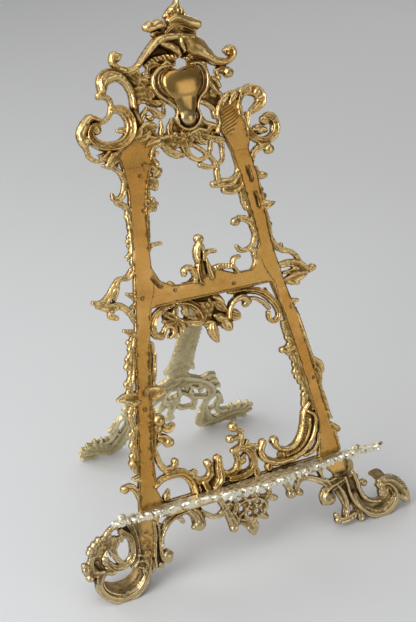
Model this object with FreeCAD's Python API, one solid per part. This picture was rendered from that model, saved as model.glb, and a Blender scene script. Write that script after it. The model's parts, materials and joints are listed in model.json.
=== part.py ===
"""Ornamental cast-brass display easel: a leaning open-work frame, a shelf and a folding rear leg.

The front is drawn in its own leaning plane. There u runs to the right, v runs up the lean and
off stands out of the plane, away from the easel's back. The rear leg is drawn in a plane of its own.
"""
import FreeCAD, Part
import math
import os

V = FreeCAD.Vector

# Driving dimensions, millimetres and degrees
LEAN = 20.0             # the frame leans back this far from upright
BACK = -3.0             # off of the flat back of every front casting
RELIEF = 1.5            # off of the front of the open-work ornament
FACE = 3.0              # off of the polished front faces
SHELF_LEVEL = 69.0      # v of the shelf's top surface
SHELF_THICK = 4.0
SHELF_DEPTH = 17.0      # off of the shelf's front edge at its ends
SHELF_BULGE = 14.0      # how much further the middle of the shelf stands out
FLANGE_THICK = 3.0      # flange that hangs below the shelf and takes its screws
SEAM = 66.0             # v where the feet and apron meet the castings above the shelf
FOOT_DEPTH = 21.0       # front-to-back depth of the scrolled foot ribbons
FOOT_FRONT = 4.0        # off of the front rim of those ribbons
HINGE_V = 234.0         # v of the leg's hinge axis, behind the crossrail
HINGE_OFF = -13.0
REAR_REACH = 200.5      # how far behind the frame's foot line the rear feet stand
PIN_R = 2.5
RUNNING = 0.05          # radial clearance of the hinge pin in the leg's knuckle
KNUCKLE_R = 6.0
EAR_GAP = 0.3           # side play between the knuckle and each ear
EAR_IN = 11.0           # inner face of each bracket ear
EAR_THICK = 3.0
PLATE_THICK = 3.0       # hinge bracket's base plate
PLATE_HALF = 22.0
PLATE_FOOT = 226.5      # v of the plate's lower and upper edges
PLATE_TOP = 240.5
STOP_GAP = 0.2          # gap left at the stop heel of the open leg
HEEL_HALF = 8.0
HEEL_REACH = 14.0
LEG_THICK = 4.0
SCREW_R = 1.5
SCREW_BITE = 4.0        # how deep the bracket screws go into the crossrail
HEAD_R = 2.6
HEAD_HIGH = 1.4
CLEAR = 0.1             # radial clearance of screws in their holes
SHELF_CREST = 12.0      # u where the shelf is deepest
SHELF_SPREAD = 45.0
SHELF_LEFT = -114.0     # ends of the scalloped front edge
SHELF_RIGHT = 124.0
LEFT_TIP = (-122, 9)    # u and off of the shelf's two pointed ends
RIGHT_TIP = (134, 12)
SCALLOPS = 28
SCALLOP_DEEP = 1.5      # how far the notches between scallops lie behind their crowns
FLANGE_LEFT = -72.0
FLANGE_RIGHT = 70.0
FLANGE_FOOT = 57.5
SHELF_SCREWS = [(-56, 61), (-16, 61), (24, 61), (62, 61)]
BRACKET_SCREWS = [(-18.4, 230), (-18.4, 237.4), (18.4, 230), (18.4, 237.4)]
GROUND_THICK = 2.0      # the cartouche's flat ground under its dome and drop
DOME = (3, 396, -11.5, 20)
DROP = (4, 371, 0, 8)   # u, v, off and radius of the two round swellings
PIN_HEAD_R = 4.0
PIN_HEAD_HIGH = 2.0
OVERRUN = 5.0           # how far a cutting tool runs past the surface that it cuts
TOOL = 60.0             # size of a cutting block or bar that only has to be long enough
FUZZ = 0.002            # edges closer than this are taken as one
CRUMB = 0.5             # faces smaller than this, in square millimetres, are trimming waste

HINGE_Y = HINGE_V * math.sin(math.radians(LEAN)) - HINGE_OFF * math.cos(math.radians(LEAN))
HINGE_Z = HINGE_V * math.cos(math.radians(LEAN)) + HINGE_OFF * math.sin(math.radians(LEAN))
LEG_LENGTH = math.hypot(REAR_REACH - HINGE_Y, HINGE_Z)
LEG_TILT = math.degrees(math.atan2(REAR_REACH - HINGE_Y, HINGE_Z))


# ---------------------------------------------------------------- outlines

def polygon(points):
    """Flat face with straight sides through the given corners."""
    corners = [V(u, v, 0) for u, v in points]
    return Part.Face(Part.makePolygon(corners + corners[:1]))


def disc(u, v, r):
    """Flat round face."""
    return Part.Face(Part.Wire(Part.makeCircle(r, V(u, v, 0))))


def stations(stroke, splits):
    """Centre, direction, left-hand normal and half width at even steps along a smooth stroke."""
    places = [V(u, v, 0) for u, v, width in stroke]
    marks = [0.0]
    for before, after in zip(places, places[1:]):
        marks.append(marks[-1] + before.distanceToPoint(after))
    curve = Part.BSplineCurve()
    curve.interpolate(Points=places, Parameters=marks)
    rows = []
    for index in range(len(stroke) - 1):
        for part in range(splits):
            share = part / splits
            here = marks[index] + share * (marks[index + 1] - marks[index])
            width = stroke[index][2] + share * (stroke[index + 1][2] - stroke[index][2])
            rows.append((here, width / 2))
    rows.append((marks[-1], stroke[-1][2] / 2))
    result = []
    for here, half in rows:
        centre = curve.value(here)
        along = curve.tangent(here)[0]
        result.append((centre, along, V(-along.y, along.x, 0), half))
    return result


def through(points):
    """Smooth edge through plane points."""
    curve = Part.BSplineCurve()
    curve.interpolate(points)
    return curve.toShape()


def cap(row, sign):
    """Rounded end of a ribbon, from its left side to its right at the end, or back at the start."""
    centre, along, normal, half = row
    first = centre + normal * (half * sign)
    last = centre - normal * (half * sign)
    return Part.Arc(first, centre + along * (half * sign), last).toShape()


def band(stroke):
    """Ribbon of changing width along a smooth line of (u, v, width) points, with round ends."""
    rows = stations(stroke, 2)
    left = [centre + normal * half for centre, along, normal, half in rows]
    right = [centre - normal * half for centre, along, normal, half in rows]
    sides = [through(left), cap(rows[-1], 1), through(right[::-1]), cap(rows[0], -1)]
    return Part.Face(Part.Wire(sides))


def leaf(stroke, lobes=2, depth=0.35):
    """Leaf along a midrib, like a band whose two edges are rows of round lobes."""
    rows = stations(stroke, 2 * lobes)
    sides = []
    for sign in (1, -1):
        edge = []
        for index, (centre, along, normal, half) in enumerate(rows):
            reach = half if index % 2 else half * (1 - depth)
            edge.append(centre + normal * (reach * sign))
        sides.append(edge if sign > 0 else edge[::-1])
    tip = rows[-1][0] + rows[-1][1] * rows[-1][3]
    root = rows[0][0] - rows[0][1] * rows[0][3]
    edges = []
    for edge in sides:
        for index in range(0, len(edge) - 2, 2):
            edges.append(Part.Arc(edge[index], edge[index + 1], edge[index + 2]).toShape())
        if edge is sides[0]:
            edges.append(Part.Arc(edge[-1], tip, sides[1][0]).toShape())
    edges.append(Part.Arc(sides[1][-1], root, sides[0][0]).toShape())
    return Part.Face(Part.Wire(edges))


def flower(u, v, r, petals=5, turn=0.0):
    """Round-petalled flower face."""
    edges = []
    inner = 0.72 * r
    for index in range(petals):
        angles = [turn + 2 * math.pi * (index + step / 2) / petals for step in range(3)]
        spots = []
        for reach, angle in zip((inner, r, inner), angles):
            spots.append(V(u + reach * math.cos(angle), v + reach * math.sin(angle), 0))
        edges.append(Part.Arc(*spots).toShape())
    return Part.Face(Part.Wire(edges))


def beads(start, end, count, r):
    """Row of round beads between two places."""
    faces = []
    for index in range(count):
        share = index / max(count - 1, 1)
        u = start[0] + share * (end[0] - start[0])
        v = start[1] + share * (end[1] - start[1])
        faces.append(disc(u, v, r))
    return faces


def upward(face):
    """The same face with its normal to the front."""
    if face.normalAt(0, 0).z < 0:
        face.reverse()
    return face


def raised(face, low, high):
    """Flat face thickened between two heights."""
    moved = upward(face.copy())
    moved.translate(V(0, 0, low))
    return moved.extrude(V(0, 0, high - low))


def merged(solids):
    """The largest single solid that some overlapping solids make."""
    whole = solids[0]
    if len(solids) > 1:
        whole = solids[0].multiFuse(solids[1:], FUZZ).removeSplitter()
    return max(whole.Solids, key=lambda solid: solid.Volume)


# ---------------------------------------------------------------- the front's ornament

def stile_faces():
    """Polished faces: the two tapering stiles, the crossrail, the shoulders and the foot blocks."""
    left = [(-94, 66), (-92, 80), (-88.5, 102), (-73, 200), (-68.5, 226), (-64, 256), (-57, 318),
            (-58, 338), (-60, 358), (-31, 358), (-34, 338), (-40, 322), (-47.5, 270), (-48, 258),
            (-43, 247), (-34, 241), (-20, 240), (-20, 226), (-54, 226), (-60, 200), (-76, 100),
            (-77, 84), (-73, 72), (-73, 66)]
    right = [(95, 66), (93, 80), (89, 100), (73, 200), (66.5, 226), (60.5, 260), (56.5, 318),
             (53, 338), (57, 350), (53, 364), (51, 380), (34, 382), (28.5, 372), (30, 360),
             (33, 350), (37.5, 338), (40, 322), (47, 270), (49, 260), (44, 252), (44, 245),
             (38, 240), (20, 240), (20, 226), (54, 226), (61, 200), (78, 100), (77, 84),
             (74, 72), (74, 66)]
    rail = [(-22, 240.5), (-8, 240.5), (4, 246), (12, 245), (22, 240.5), (22, 226), (-22, 226)]
    blocks = [[(-97, 66), (-79, 66), (-79, 56), (-85, 44), (-97, 48)],
              [(98, 66), (72, 66), (72, 57.5), (78, 57.5), (85, 50), (98, 50)],
              [(-80, 66), (74, 66), (74, 57.5), (-80, 57.5)]]
    return [polygon(points) for points in [left, right, rail] + blocks]


def crest_strokes():
    """Open-work of the crest: crown hood, finial, scrolls, shoulders and hanging tendrils."""
    bands = [
        # left shoulder scroll and its curl
        [(-58, 384, 4), (-50, 382, 7), (-45, 374, 8), (-46, 364, 8), (-55, 357, 7), (-66, 357, 6),
         (-75, 361, 7), (-78, 368, 6)],
        [(-78, 367, 5), (-77, 372, 5), (-73, 373, 4)],
        [(-68, 343, 6), (-62, 348, 10)],
        [(-70, 378, 4), (-76, 381, 5), (-81, 377, 7), (-84, 370, 8), (-84, 362, 7)],
        [(-84, 358, 4), (-82, 351, 3.5), (-76, 347, 3), (-70, 349, 5), (-62, 354, 7)],
        [(-73, 379, 4), (-68, 376, 3.5), (-62, 379, 3.5), (-58, 386, 3.5), (-59, 393, 4), (-66, 396, 5)],
        # left bulb scroll
        [(-58.5, 397, 5), (-61, 404, 9), (-57, 409, 9), (-49, 409, 8), (-43, 403, 6), (-40, 394, 5),
         (-40, 384, 5)],
        [(-42, 413, 6), (-48, 416, 5), (-50.5, 421, 5), (-48, 425, 4), (-44.5, 423, 4)],
        [(-52, 413, 5), (-42, 411, 7), (-33, 413, 6), (-27, 418, 6)],
        [(-43, 410, 5), (-35, 403, 5), (-30, 399, 5)],
        [(-28, 416, 5), (-31, 409, 5), (-32, 402, 6)],
        # rocaille column between the left scrolls and the cartouche
        [(-40, 397, 7), (-32, 397, 8), (-24, 399, 8), (-22, 408, 6), (-16, 414, 6)],
        [(-38, 390, 9), (-28, 391, 9), (-20, 389, 8)],
        [(-39, 385, 7), (-38, 374, 8), (-40, 362, 10)],
        [(-38, 373, 5), (-31, 380, 5), (-24, 377, 5), (-17, 376, 5), (-13, 381, 4)],
        [(-40, 362, 8), (-28, 358, 8), (-14, 357, 8), (0, 356, 9), (14, 357, 7), (30, 358, 6)],
        [(-35, 366, 8), (-28, 368, 7), (-24, 366, 5)],
        [(-20, 358, 6), (-20, 364, 5), (-19, 369, 2.5)],
        [(-12, 357, 6), (-14, 365, 5), (-12, 374, 4), (-9, 382, 5)],
        # crown hood
        [(-30, 416, 3), (-22, 423, 6), (-14, 428, 9), (-4, 430, 11), (6, 430, 11), (16, 428, 11),
         (24, 422, 9), (30, 414, 6), (36, 409, 4.5), (43, 408, 4.5), (49, 411, 4.5), (51, 416, 4)],
        [(-26, 419, 4), (-14, 420, 8), (0, 421, 9), (14, 420, 9), (25, 417, 6)],
        [(-20, 412, 6), (-10, 414, 6), (-2, 414, 4)],
        [(13, 412, 5), (20, 414, 6), (27, 414, 5)],
        # finial
        [(-12, 436, 6), (0, 438, 9), (9, 440, 11), (18, 438, 8)],
        [(9, 436, 18), (9, 446, 13), (8, 452, 12)],
        [(-6, 440, 4), (-8, 444, 5), (-14, 444, 6)],
        [(10, 445, 8), (18, 443, 7), (24, 441, 7)],
        # right arm scrolls
        [(34, 408, 5), (40, 404, 6), (46, 401, 7)],
        [(26, 414, 5), (24, 404, 6), (28, 393, 9), (32, 384, 10), (40, 379, 7)],
        [(36, 402, 3.5), (37, 397, 4), (34, 391, 5)],
        [(40, 383, 4), (46, 383, 4), (52, 383, 5)],
        # right bulb scroll and large volute
        [(50, 368, 4), (51, 377, 5), (56, 384, 6), (63, 384, 8), (69, 380, 9), (70, 373, 8),
         (64, 369, 6), (59, 366, 4)],
        [(62, 380, 6), (66, 375, 7)],
        [(57, 366, 4), (54, 358, 5), (56, 350, 5), (62, 344, 5), (70, 342, 6), (78, 346, 7),
         (80, 354, 7), (76, 360, 7), (71, 358, 5)],
        [(60, 350, 5), (66, 352, 6), (71, 350, 4)],
        # cartouche ground
        [(-18, 396, 10), (-6, 398, 30), (10, 398, 30), (21, 396, 10)],
        [(3, 392, 16), (4, 380, 12), (4, 370, 18), (4, 362, 14)],
        [(-10, 386, 8), (-4, 378, 6), (-8, 370, 6), (-4, 362, 7)],
        [(12, 384, 8), (11, 378, 4), (15, 370, 5), (20, 361, 5), (28, 360, 4)],
        [(12, 382, 4), (20, 379, 4), (27, 373, 4)],
        # arch and tendrils under the crest
        [(-33, 350, 4), (-27, 353, 5), (-20, 352, 5), (-13, 349, 5), (-6, 351, 6)],
        [(-32, 345, 5), (-27, 346, 4)],
        [(-20, 351, 5), (-15, 345, 6), (-9, 342, 6), (-5, 341, 4)],
        [(-4, 352, 8), (-2, 345, 6), (1, 340, 4), (6, 336, 3.5), (13, 336, 3.5), (19, 341, 3.5),
         (21, 348, 3.5), (24, 354, 4)],
        [(2, 350, 4), (8, 346, 3.5), (14, 341, 3.5), (20, 334, 3.5), (23, 328, 3.5), (22, 320, 4)],
        [(9, 331, 4.5), (15, 328.5, 4), (22, 328.5, 3.5), (28, 332, 3.5), (30, 340, 3.5), (30, 348, 5)],
        [(14, 354, 4), (22, 351, 5), (30, 348, 6)],
        [(10, 357, 5), (12, 350, 5), (16, 348, 4)],
        # garland at the top of the left stile
        [(-40, 337, 6), (-34, 335, 6), (-29, 331, 5), (-26, 333, 3)],
        [(-34, 344, 6), (-30, 338, 7)],
    ]
    discs = [(-66, 396, 3), (-47, 423, 3.5), (-45, 422, 3), (49, 416, 4.5), (46, 400.5, 4.5),
             (-15, 443.5, 4.4), (-7.5, 444, 4.2), (24, 441, 4), (3, 452, 4.5), (8, 456, 4.5),
             (13, 452, 4), (-59, 404, 5.5), (72, 357, 4), (66, 351, 4.5), (72, 376, 4), (69, 382, 4.5),
             (62, 385, 4), (54, 384, 3), (-72, 371, 4), (-83, 364, 5), (-78, 379, 4)]
    flowers = [(-34, 393, 6, 5), (-26, 392, 5, 5), (-33, 403, 4, 5), (-24, 406, 4, 5), (0, 353, 7, 6),
               (-10, 354, 6, 5), (-30, 331, 4.5, 5), (20, 420, 4, 5)]
    faces = [band(stroke) for stroke in bands]
    faces += [disc(*values) for values in discs]
    faces += [flower(*values) for values in flowers]
    faces.append(leaf([(-48, 366, 4), (-53, 368, 5), (-56, 368, 2.5)], 2))
    return faces


def left_stile_strokes():
    """Hook, leaf tips, side scroll, beads and garland of the left stile."""
    bands = [
        [(-72, 343, 3), (-64, 340, 4), (-58.5, 332, 4), (-59, 323, 4), (-64, 316, 5), (-69, 317, 4),
         (-69.5, 320, 2.5)],
        [(-66, 313, 5), (-60, 308, 5), (-58, 300, 4)],
        [(-60, 304, 4), (-60, 290, 4), (-61, 276, 4), (-63, 264, 4)],
        [(-62, 272, 4), (-67, 270, 2)],
        # side scroll at the crossrail
        [(-64, 259, 5), (-69, 254, 5), (-76, 254, 4), (-82, 248, 5), (-87, 242, 6), (-94, 238, 6),
         (-100, 240, 4)],
        [(-78, 251, 4), (-80, 245, 4), (-83, 240, 4)],
        [(-96, 237, 6), (-88, 234, 8), (-79, 233, 6), (-72, 226, 5), (-69, 218, 4)],
        [(-86, 232, 5), (-88, 227, 5), (-84, 224.5, 4.5)],
        [(-66, 238, 6), (-71, 241, 3)],
        [(-66, 231, 5), (-70, 230, 3)],
        # outer edge below the crossrail
        [(-73, 210, 6), (-79, 213, 3)],
        [(-73, 207, 5), (-76, 200, 5), (-77, 190, 5), (-79, 180, 5), (-82, 170, 5), (-84, 163, 5)],
        [(-82, 158, 13), (-88, 160, 8), (-94, 160, 3)],
        [(-84, 150, 7), (-86, 144, 6), (-86, 136, 5)],
        [(-85, 136, 5), (-88, 124, 5), (-89, 112, 5), (-90, 100, 4)],
        [(-90, 106, 4), (-92, 107, 5)],
        [(-91, 76, 4), (-93, 84, 5), (-97, 89, 6), (-102, 88, 5)],
        [(-90, 94, 5), (-93, 94, 3)],
        # inner edge
        [(-40, 327, 4), (-34, 325, 7), (-33, 319, 4)],
        [(-40.5, 321.5, 5), (-41, 314, 5)],
        [(-44, 304, 5), (-45, 292, 4), (-47, 280, 4)],
        [(-49, 272, 5), (-44, 275.5, 3.5), (-37, 275.5, 3.5)],
        [(-60, 198, 6), (-58, 190, 4), (-59.5, 182, 4), (-62, 172, 5), (-65, 164, 5)],
        [(-67, 159, 14), (-61, 159, 11), (-57, 160, 6)],
        [(-68, 148, 4), (-68, 136, 6), (-71, 124, 5), (-73, 112, 5)],
        [(-62, 131, 6), (-57, 127, 7), (-53, 129, 5)],
        [(-66, 122, 6), (-61, 119, 8), (-60, 115, 6)],
        [(-72, 116, 4), (-66, 118, 3)],
    ]
    discs = [(-64, 136, 5.5), (-66, 130, 4), (-58, 116, 4), (-92, 107, 3), (-102, 88, 3.5)]
    flowers = [(-39.5, 307, 6.5, 6), (-67, 129, 5, 5), (-36, 323, 5, 5)]
    faces = [band(stroke) for stroke in bands]
    faces += [disc(*values) for values in discs]
    faces += [flower(*values) for values in flowers]
    faces += beads((-60.5, 302), (-63, 268), 8, 2.4)
    faces += beads((-76, 203), (-84, 165), 9, 2.6)
    faces += beads((-86.5, 146), (-91, 104), 6, 2.7)
    return faces


def right_stile_strokes():
    """Scrolls, shell leaf, gadroons, buds and side leaf of the right stile."""
    bands = [
        [(54, 326, 4), (58, 334, 5), (64, 337.5, 6), (70, 337, 6), (73, 334, 6)],
        [(57, 321, 4), (58, 315, 5), (64, 314, 5)],
        [(56, 312, 4), (57, 303, 5), (58, 292, 5), (60, 280, 4), (61, 264, 4)],
        [(60, 290, 9), (64, 290, 6), (69, 290.5, 2.5)],
        # side leaf at the crossrail
        [(61, 262, 4), (65, 254, 5), (71, 250, 5), (78, 247, 4), (83, 241, 4), (84, 236, 4)],
        [(69, 251, 4), (70, 255, 2.5)],
        [(66, 238, 5), (76, 238, 7), (84, 234, 9), (91, 229, 6), (96, 230, 5)],
        [(67, 224, 5), (74, 225, 8), (82, 226, 9), (88, 227, 5)],
        [(70, 223, 4), (76, 221, 4), (80, 220, 3)],
        [(68, 231, 3), (74, 231, 4), (80, 231, 7)],
        # outer edge below the crossrail
        [(70, 202, 6), (73, 206, 5), (76, 206, 4)],
        [(73, 199, 4), (76, 187, 4), (78, 175, 4), (81, 160, 4), (83, 150, 4)],
        [(84, 152, 6), (87, 147, 9), (89, 142, 6)],
        [(84, 144, 6), (86, 138, 6), (85, 130, 5), (87, 118, 5), (89, 106, 5)],
        [(88, 104, 6), (92, 99, 3)],
        [(91, 92, 6), (95, 88, 7), (98, 87, 3)],
        [(92, 86, 5), (94, 76, 4), (95, 70, 3)],
        # inner scrolls and shell
        [(31, 281, 6), (37, 283, 5.5), (43, 280, 5), (46, 273, 4), (46, 264, 4), (43, 259, 4),
         (37, 256.5, 4), (32, 257, 4), (29.5, 261, 3)],
        [(42, 256, 5), (48, 252, 5)],
        [(42, 326, 4), (40, 319, 5), (34, 314, 7), (26, 314, 8), (18, 314, 6)],
        [(40, 309, 6), (34, 307, 8), (27, 308, 7)],
        [(41, 318, 5), (41, 304, 5), (43, 292, 5)],
        [(22, 324, 4), (22, 316, 5)],
        # gadrooned inner edge
        [(60, 190, 4), (62, 180, 5), (65, 168, 6), (68, 150, 6), (71, 132, 6), (74, 112, 5)],
        [(64, 168, 7), (59, 167, 6), (55.5, 167, 4)],
        [(66, 160, 6), (66, 150, 5), (68, 138, 5)],
        [(70, 124, 5), (68, 116, 5)],
    ]
    discs = [(72, 334.5, 4.3), (62, 314.5, 3.4), (96, 230.5, 3), (56, 167, 3), (31.5, 281, 3.6)]
    faces = [band(stroke) for stroke in bands]
    faces += [disc(*values) for values in discs]
    faces.append(flower(30, 305, 5, 6))
    faces.append(flower(37, 304, 4.5, 6))
    faces += beads((59.5, 304), (61.5, 266), 7, 2.4)
    faces += beads((42, 302), (43, 290), 3, 2.2)
    faces += beads((59.8, 182), (70, 118), 12, 2.8)
    faces += beads((83.5, 132), (89, 103), 5, 2.2)
    return faces


def crossrail_strokes():
    """Little figure and curl above the crossrail, scrolls and bouquet below it."""
    bands = [
        [(-5, 242, 14), (-4, 252, 12), (-4, 262, 8), (-3, 273, 6)],
        [(-4, 258, 6), (2, 261, 4.5), (7, 261.5, 4)],
        [(-5, 265, 4), (-9, 262, 3)],
        [(-13, 242, 6), (-14, 248, 5), (-18, 251.5, 4), (-21.5, 249, 3.5), (-20.5, 245.5, 3)],
        [(2, 244, 8), (10, 246, 5), (20, 244, 5)],
        [(28, 252, 4), (24, 250.5, 4), (23, 245, 4), (27, 240, 4), (35, 239, 3), (44, 240, 6)],
        [(-36, 240, 5), (-33, 242, 4)],
        # under the rail, left
        [(-40, 224, 5), (-48, 222, 5), (-54, 217, 5), (-55, 210, 5), (-52, 205, 5), (-47, 205, 3.5),
         (-42, 209, 4)],
        [(-56, 206, 5), (-55, 200, 4.5), (-51, 200, 3)],
        [(-36, 225, 5), (-38, 218, 7), (-35, 210, 9), (-36, 202, 6)],
        [(-40, 210, 4), (-42, 204, 4), (-40, 200, 3.5)],
        [(-34, 220, 6), (-26, 221, 5), (-21, 217, 5), (-20, 210, 6)],
        [(-33, 210, 8), (-25, 208, 8), (-18, 206, 7)],
        [(-26, 225, 5), (-18, 222, 6), (-13, 215, 6), (-12, 206, 7)],
        # bouquet and its pendants
        [(-12, 220, 8), (-4, 220, 8), (6, 220, 8)],
        [(-4, 206, 12), (-3, 198, 9), (-3, 192, 5), (-2, 187.5, 2)],
        [(6, 208, 10), (9, 200, 9), (10, 197, 6)],
        [(10, 208, 8), (16, 205, 8), (19, 203, 5)],
        [(16, 206, 6), (20, 207, 4)],
        # under the rail, right
        [(10, 206, 4), (13, 212, 4), (19, 218, 5), (28, 220.5, 5), (38, 217, 4), (46, 211, 4),
         (50, 204, 4)],
        [(22, 218, 5), (28, 213, 6), (30, 210, 5)],
        [(16, 226, 4), (34, 224, 5), (46, 219, 6), (53, 212, 5), (57, 203, 4), (57, 196, 4),
         (53, 192, 4), (49, 196, 4), (48, 203, 4)],
        [(50, 202, 5), (46, 202, 3)],
        [(50, 196, 4), (48, 193, 3)],
    ]
    discs = [(-3, 273, 3.6), (-19.5, 247.5, 2.4), (7.5, 261.5, 2.4), (-53, 200, 2.6), (-41, 201, 2.4),
             (19, 206, 2.8)]
    flowers = [(-8, 214, 7, 6), (3, 213, 8, 6), (-2, 205, 7, 6), (9, 202, 6, 5), (-27, 213, 5, 5),
               (-34, 213, 6, 5), (28, 212, 4.5, 5)]
    faces = [band(stroke) for stroke in bands]
    faces += [disc(*values) for values in discs]
    faces += [flower(*values) for values in flowers]
    return faces


def lower_rail_strokes():
    """Scrolls that stand on the shelf line between the stiles."""
    bands = [
        [(-73, 117, 4), (-71, 108, 5), (-69, 100, 5), (-64, 94, 6), (-58, 94, 6), (-55.5, 99, 4)],
        [(-77, 84, 6), (-70, 87.5, 5), (-61, 89, 6), (-52, 88, 7), (-46, 83, 7), (-43, 76, 7),
         (-42, 68, 7)],
        [(-46, 85, 5), (-41, 86, 4)],
        [(-69, 72, 6), (-66, 76, 3)],
        [(-43, 81, 5), (-35, 77, 5), (-29, 79, 5), (-27, 84, 5), (-28, 89, 6)],
        [(-26, 69, 5), (-19, 74, 8), (-19, 82, 7), (-18.5, 90, 6)],
        [(-32, 69, 6), (-34, 75, 6)],
        [(-18, 80, 5), (-11, 76, 5), (-4, 78, 5), (-1, 84, 4), (-2, 92, 4)],
        [(-78, 69, 8), (-40, 69, 6), (0, 69, 7), (40, 69, 7), (78, 69, 8)],
        [(-10, 72, 5), (2, 72, 5), (11, 76, 5), (13, 85, 5), (9, 92, 5), (2, 95, 6), (-4, 94, 4)],
        [(-2, 78, 5), (0, 84, 4), (5, 88, 4)],
        [(3, 94, 5), (5, 101, 4), (5, 108, 4), (0, 113, 4)],
        [(4, 104, 4), (-4, 104.5, 4)],
        [(5, 103, 4), (7, 109, 3)],
        [(8, 94, 5), (10, 98, 3)],
        [(8, 94, 5), (14, 93, 4), (18, 92, 3)],
        [(14, 70, 6), (13, 76, 3)],
        [(24, 93, 6), (20.5, 87, 6), (23, 81, 6), (30, 76, 5), (40, 74.5, 6), (52, 75, 6),
         (63, 79, 6), (71, 87, 6), (75.5, 97, 6), (75, 106, 5), (69, 109, 4)],
        [(34, 91, 6), (38, 85.5, 5), (46, 82.5, 4), (54, 85, 4), (60, 91, 4), (64, 99, 4),
         (67, 109, 4), (72, 117, 4)],
        [(45, 78, 7), (56, 81, 9), (65, 89, 11), (70, 99, 10), (70, 107, 6)],
        [(26, 73, 6), (28, 78, 4)],
        [(62, 73, 4), (70, 75, 3.5), (75.5, 81, 3.5), (77, 88, 4)],
    ]
    discs = [(-56, 99, 2.8), (-28, 90, 3.2), (-18.5, 91, 3.4), (0, 114.5, 4.2), (-4, 104.5, 3.6),
             (24, 94, 3.2), (34.5, 91.5, 3.8), (3, 84, 3.4), (-41, 86, 2.4)]
    faces = [band(stroke) for stroke in bands]
    faces += [disc(*values) for values in discs]
    return faces


def apron_strokes():
    """Arches, leaf drops and the pierced flower pendant under the shelf."""
    bands = [
        [(-92, 62, 9), (-40, 62, 9), (0, 62, 9), (40, 62, 9), (92, 62, 9)],
        [(-80, 34, 4), (-78.5, 42, 4.5), (-73, 50, 5), (-64, 55, 5), (-54, 56.5, 5), (-46, 56, 6)],
        [(-62, 54, 4), (-58, 49, 3)],
        [(-82, 56, 4), (-79, 52, 4)],
        [(-50, 57, 8), (-46, 51, 9), (-44.5, 42, 10)],
        [(-41, 52, 4), (-34, 46, 4), (-28, 43.5, 3.5), (-21, 46, 5), (-17, 48, 5)],
        [(-24, 58, 5), (-21, 52, 5), (-18, 44, 6), (-15, 36, 8), (-14, 30, 5)],
        [(-16, 60, 4), (-11, 55, 4), (-9, 50, 4), (-12, 44, 5)],
        [(-12, 38, 9), (-5, 36, 10), (2, 30, 10), (3, 21, 4)],
        [(-6, 58, 5), (-1, 51, 4), (6, 48, 4), (12, 52, 4)],
        [(-9, 50, 4), (-4, 47, 4), (1, 42, 5), (8, 38, 7), (14, 34, 8)],
        [(8, 60, 5), (8, 51, 5), (13, 44, 7), (15, 36, 6)],
        [(10, 51, 4), (17, 47, 7), (15, 40, 6)],
        [(20, 58, 5), (23, 51, 4), (19, 46, 5)],
        [(22, 47, 4), (26, 44.5, 4)],
        [(37, 58, 5), (41, 50, 4.5), (43.5, 43, 7)],
        [(58, 57, 6), (52, 52, 4.5), (48, 46, 4), (51, 42.5, 5)],
        [(51, 54, 4), (60, 53, 4.5), (69, 49, 5), (79, 41.5, 5)],
        [(72, 57, 4), (75, 50, 3.5), (80, 44, 4)],
    ]
    discs = [(-44.5, 42, 5.8), (-49.5, 40.5, 1.8), (-14, 30, 3.4), (15, 34, 5), (27, 44.5, 2.4),
             (43.5, 43.5, 4.2), (51, 42.5, 3.2)]
    flowers = [(-10, 37, 7, 6), (-2, 43, 5, 5), (12, 46, 7, 6), (4, 30, 6, 6)]
    faces = [band(stroke) for stroke in bands]
    faces += [disc(*values) for values in discs]
    faces += [flower(*values) for values in flowers]
    return faces


def left_foot_strokes():
    """Stem, flower garland and inner volute of the left foot."""
    bands = [
        [(-92, 66, 16), (-93, 48, 18), (-95, 32, 20), (-97, 18, 12)],
        [(-84, 54, 5), (-84, 40, 6), (-84, 28, 6), (-83, 20, 4)],
        [(-82, 38, 4), (-81, 30, 5), (-77.5, 25, 4)],
        [(-112, 59, 8), (-104, 58, 8), (-96, 58, 9)],
        [(-112, 53, 6), (-104, 49, 5), (-103, 40, 5), (-107, 31, 5), (-114, 27.5, 5), (-121, 28, 6),
         (-127, 34, 4)],
        [(-118, 50, 5), (-120, 42, 5), (-119, 34, 6), (-116, 29, 5)],
        [(-114, 62, 5), (-121, 58, 6), (-127, 53, 7), (-134, 49, 8), (-138, 43, 6)],
        [(-138, 44, 5), (-141, 36, 7), (-140, 29, 8), (-134, 27, 6)],
        [(-122, 49, 6), (-128, 44, 5), (-132, 41, 4)],
    ]
    discs = [(-76.5, 25, 5.2), (-145, 33, 4), (-143, 26, 3.4)]
    flowers = [(-143, 33, 6, 5), (-137, 46, 6.5, 6), (-129, 52, 6.5, 6), (-121, 54, 6, 5),
               (-119, 47, 5, 5), (-113, 50, 4.5, 5)]
    faces = [band(stroke) for stroke in bands]
    faces += [disc(*values) for values in discs]
    faces += [flower(*values) for values in flowers]
    return faces


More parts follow.
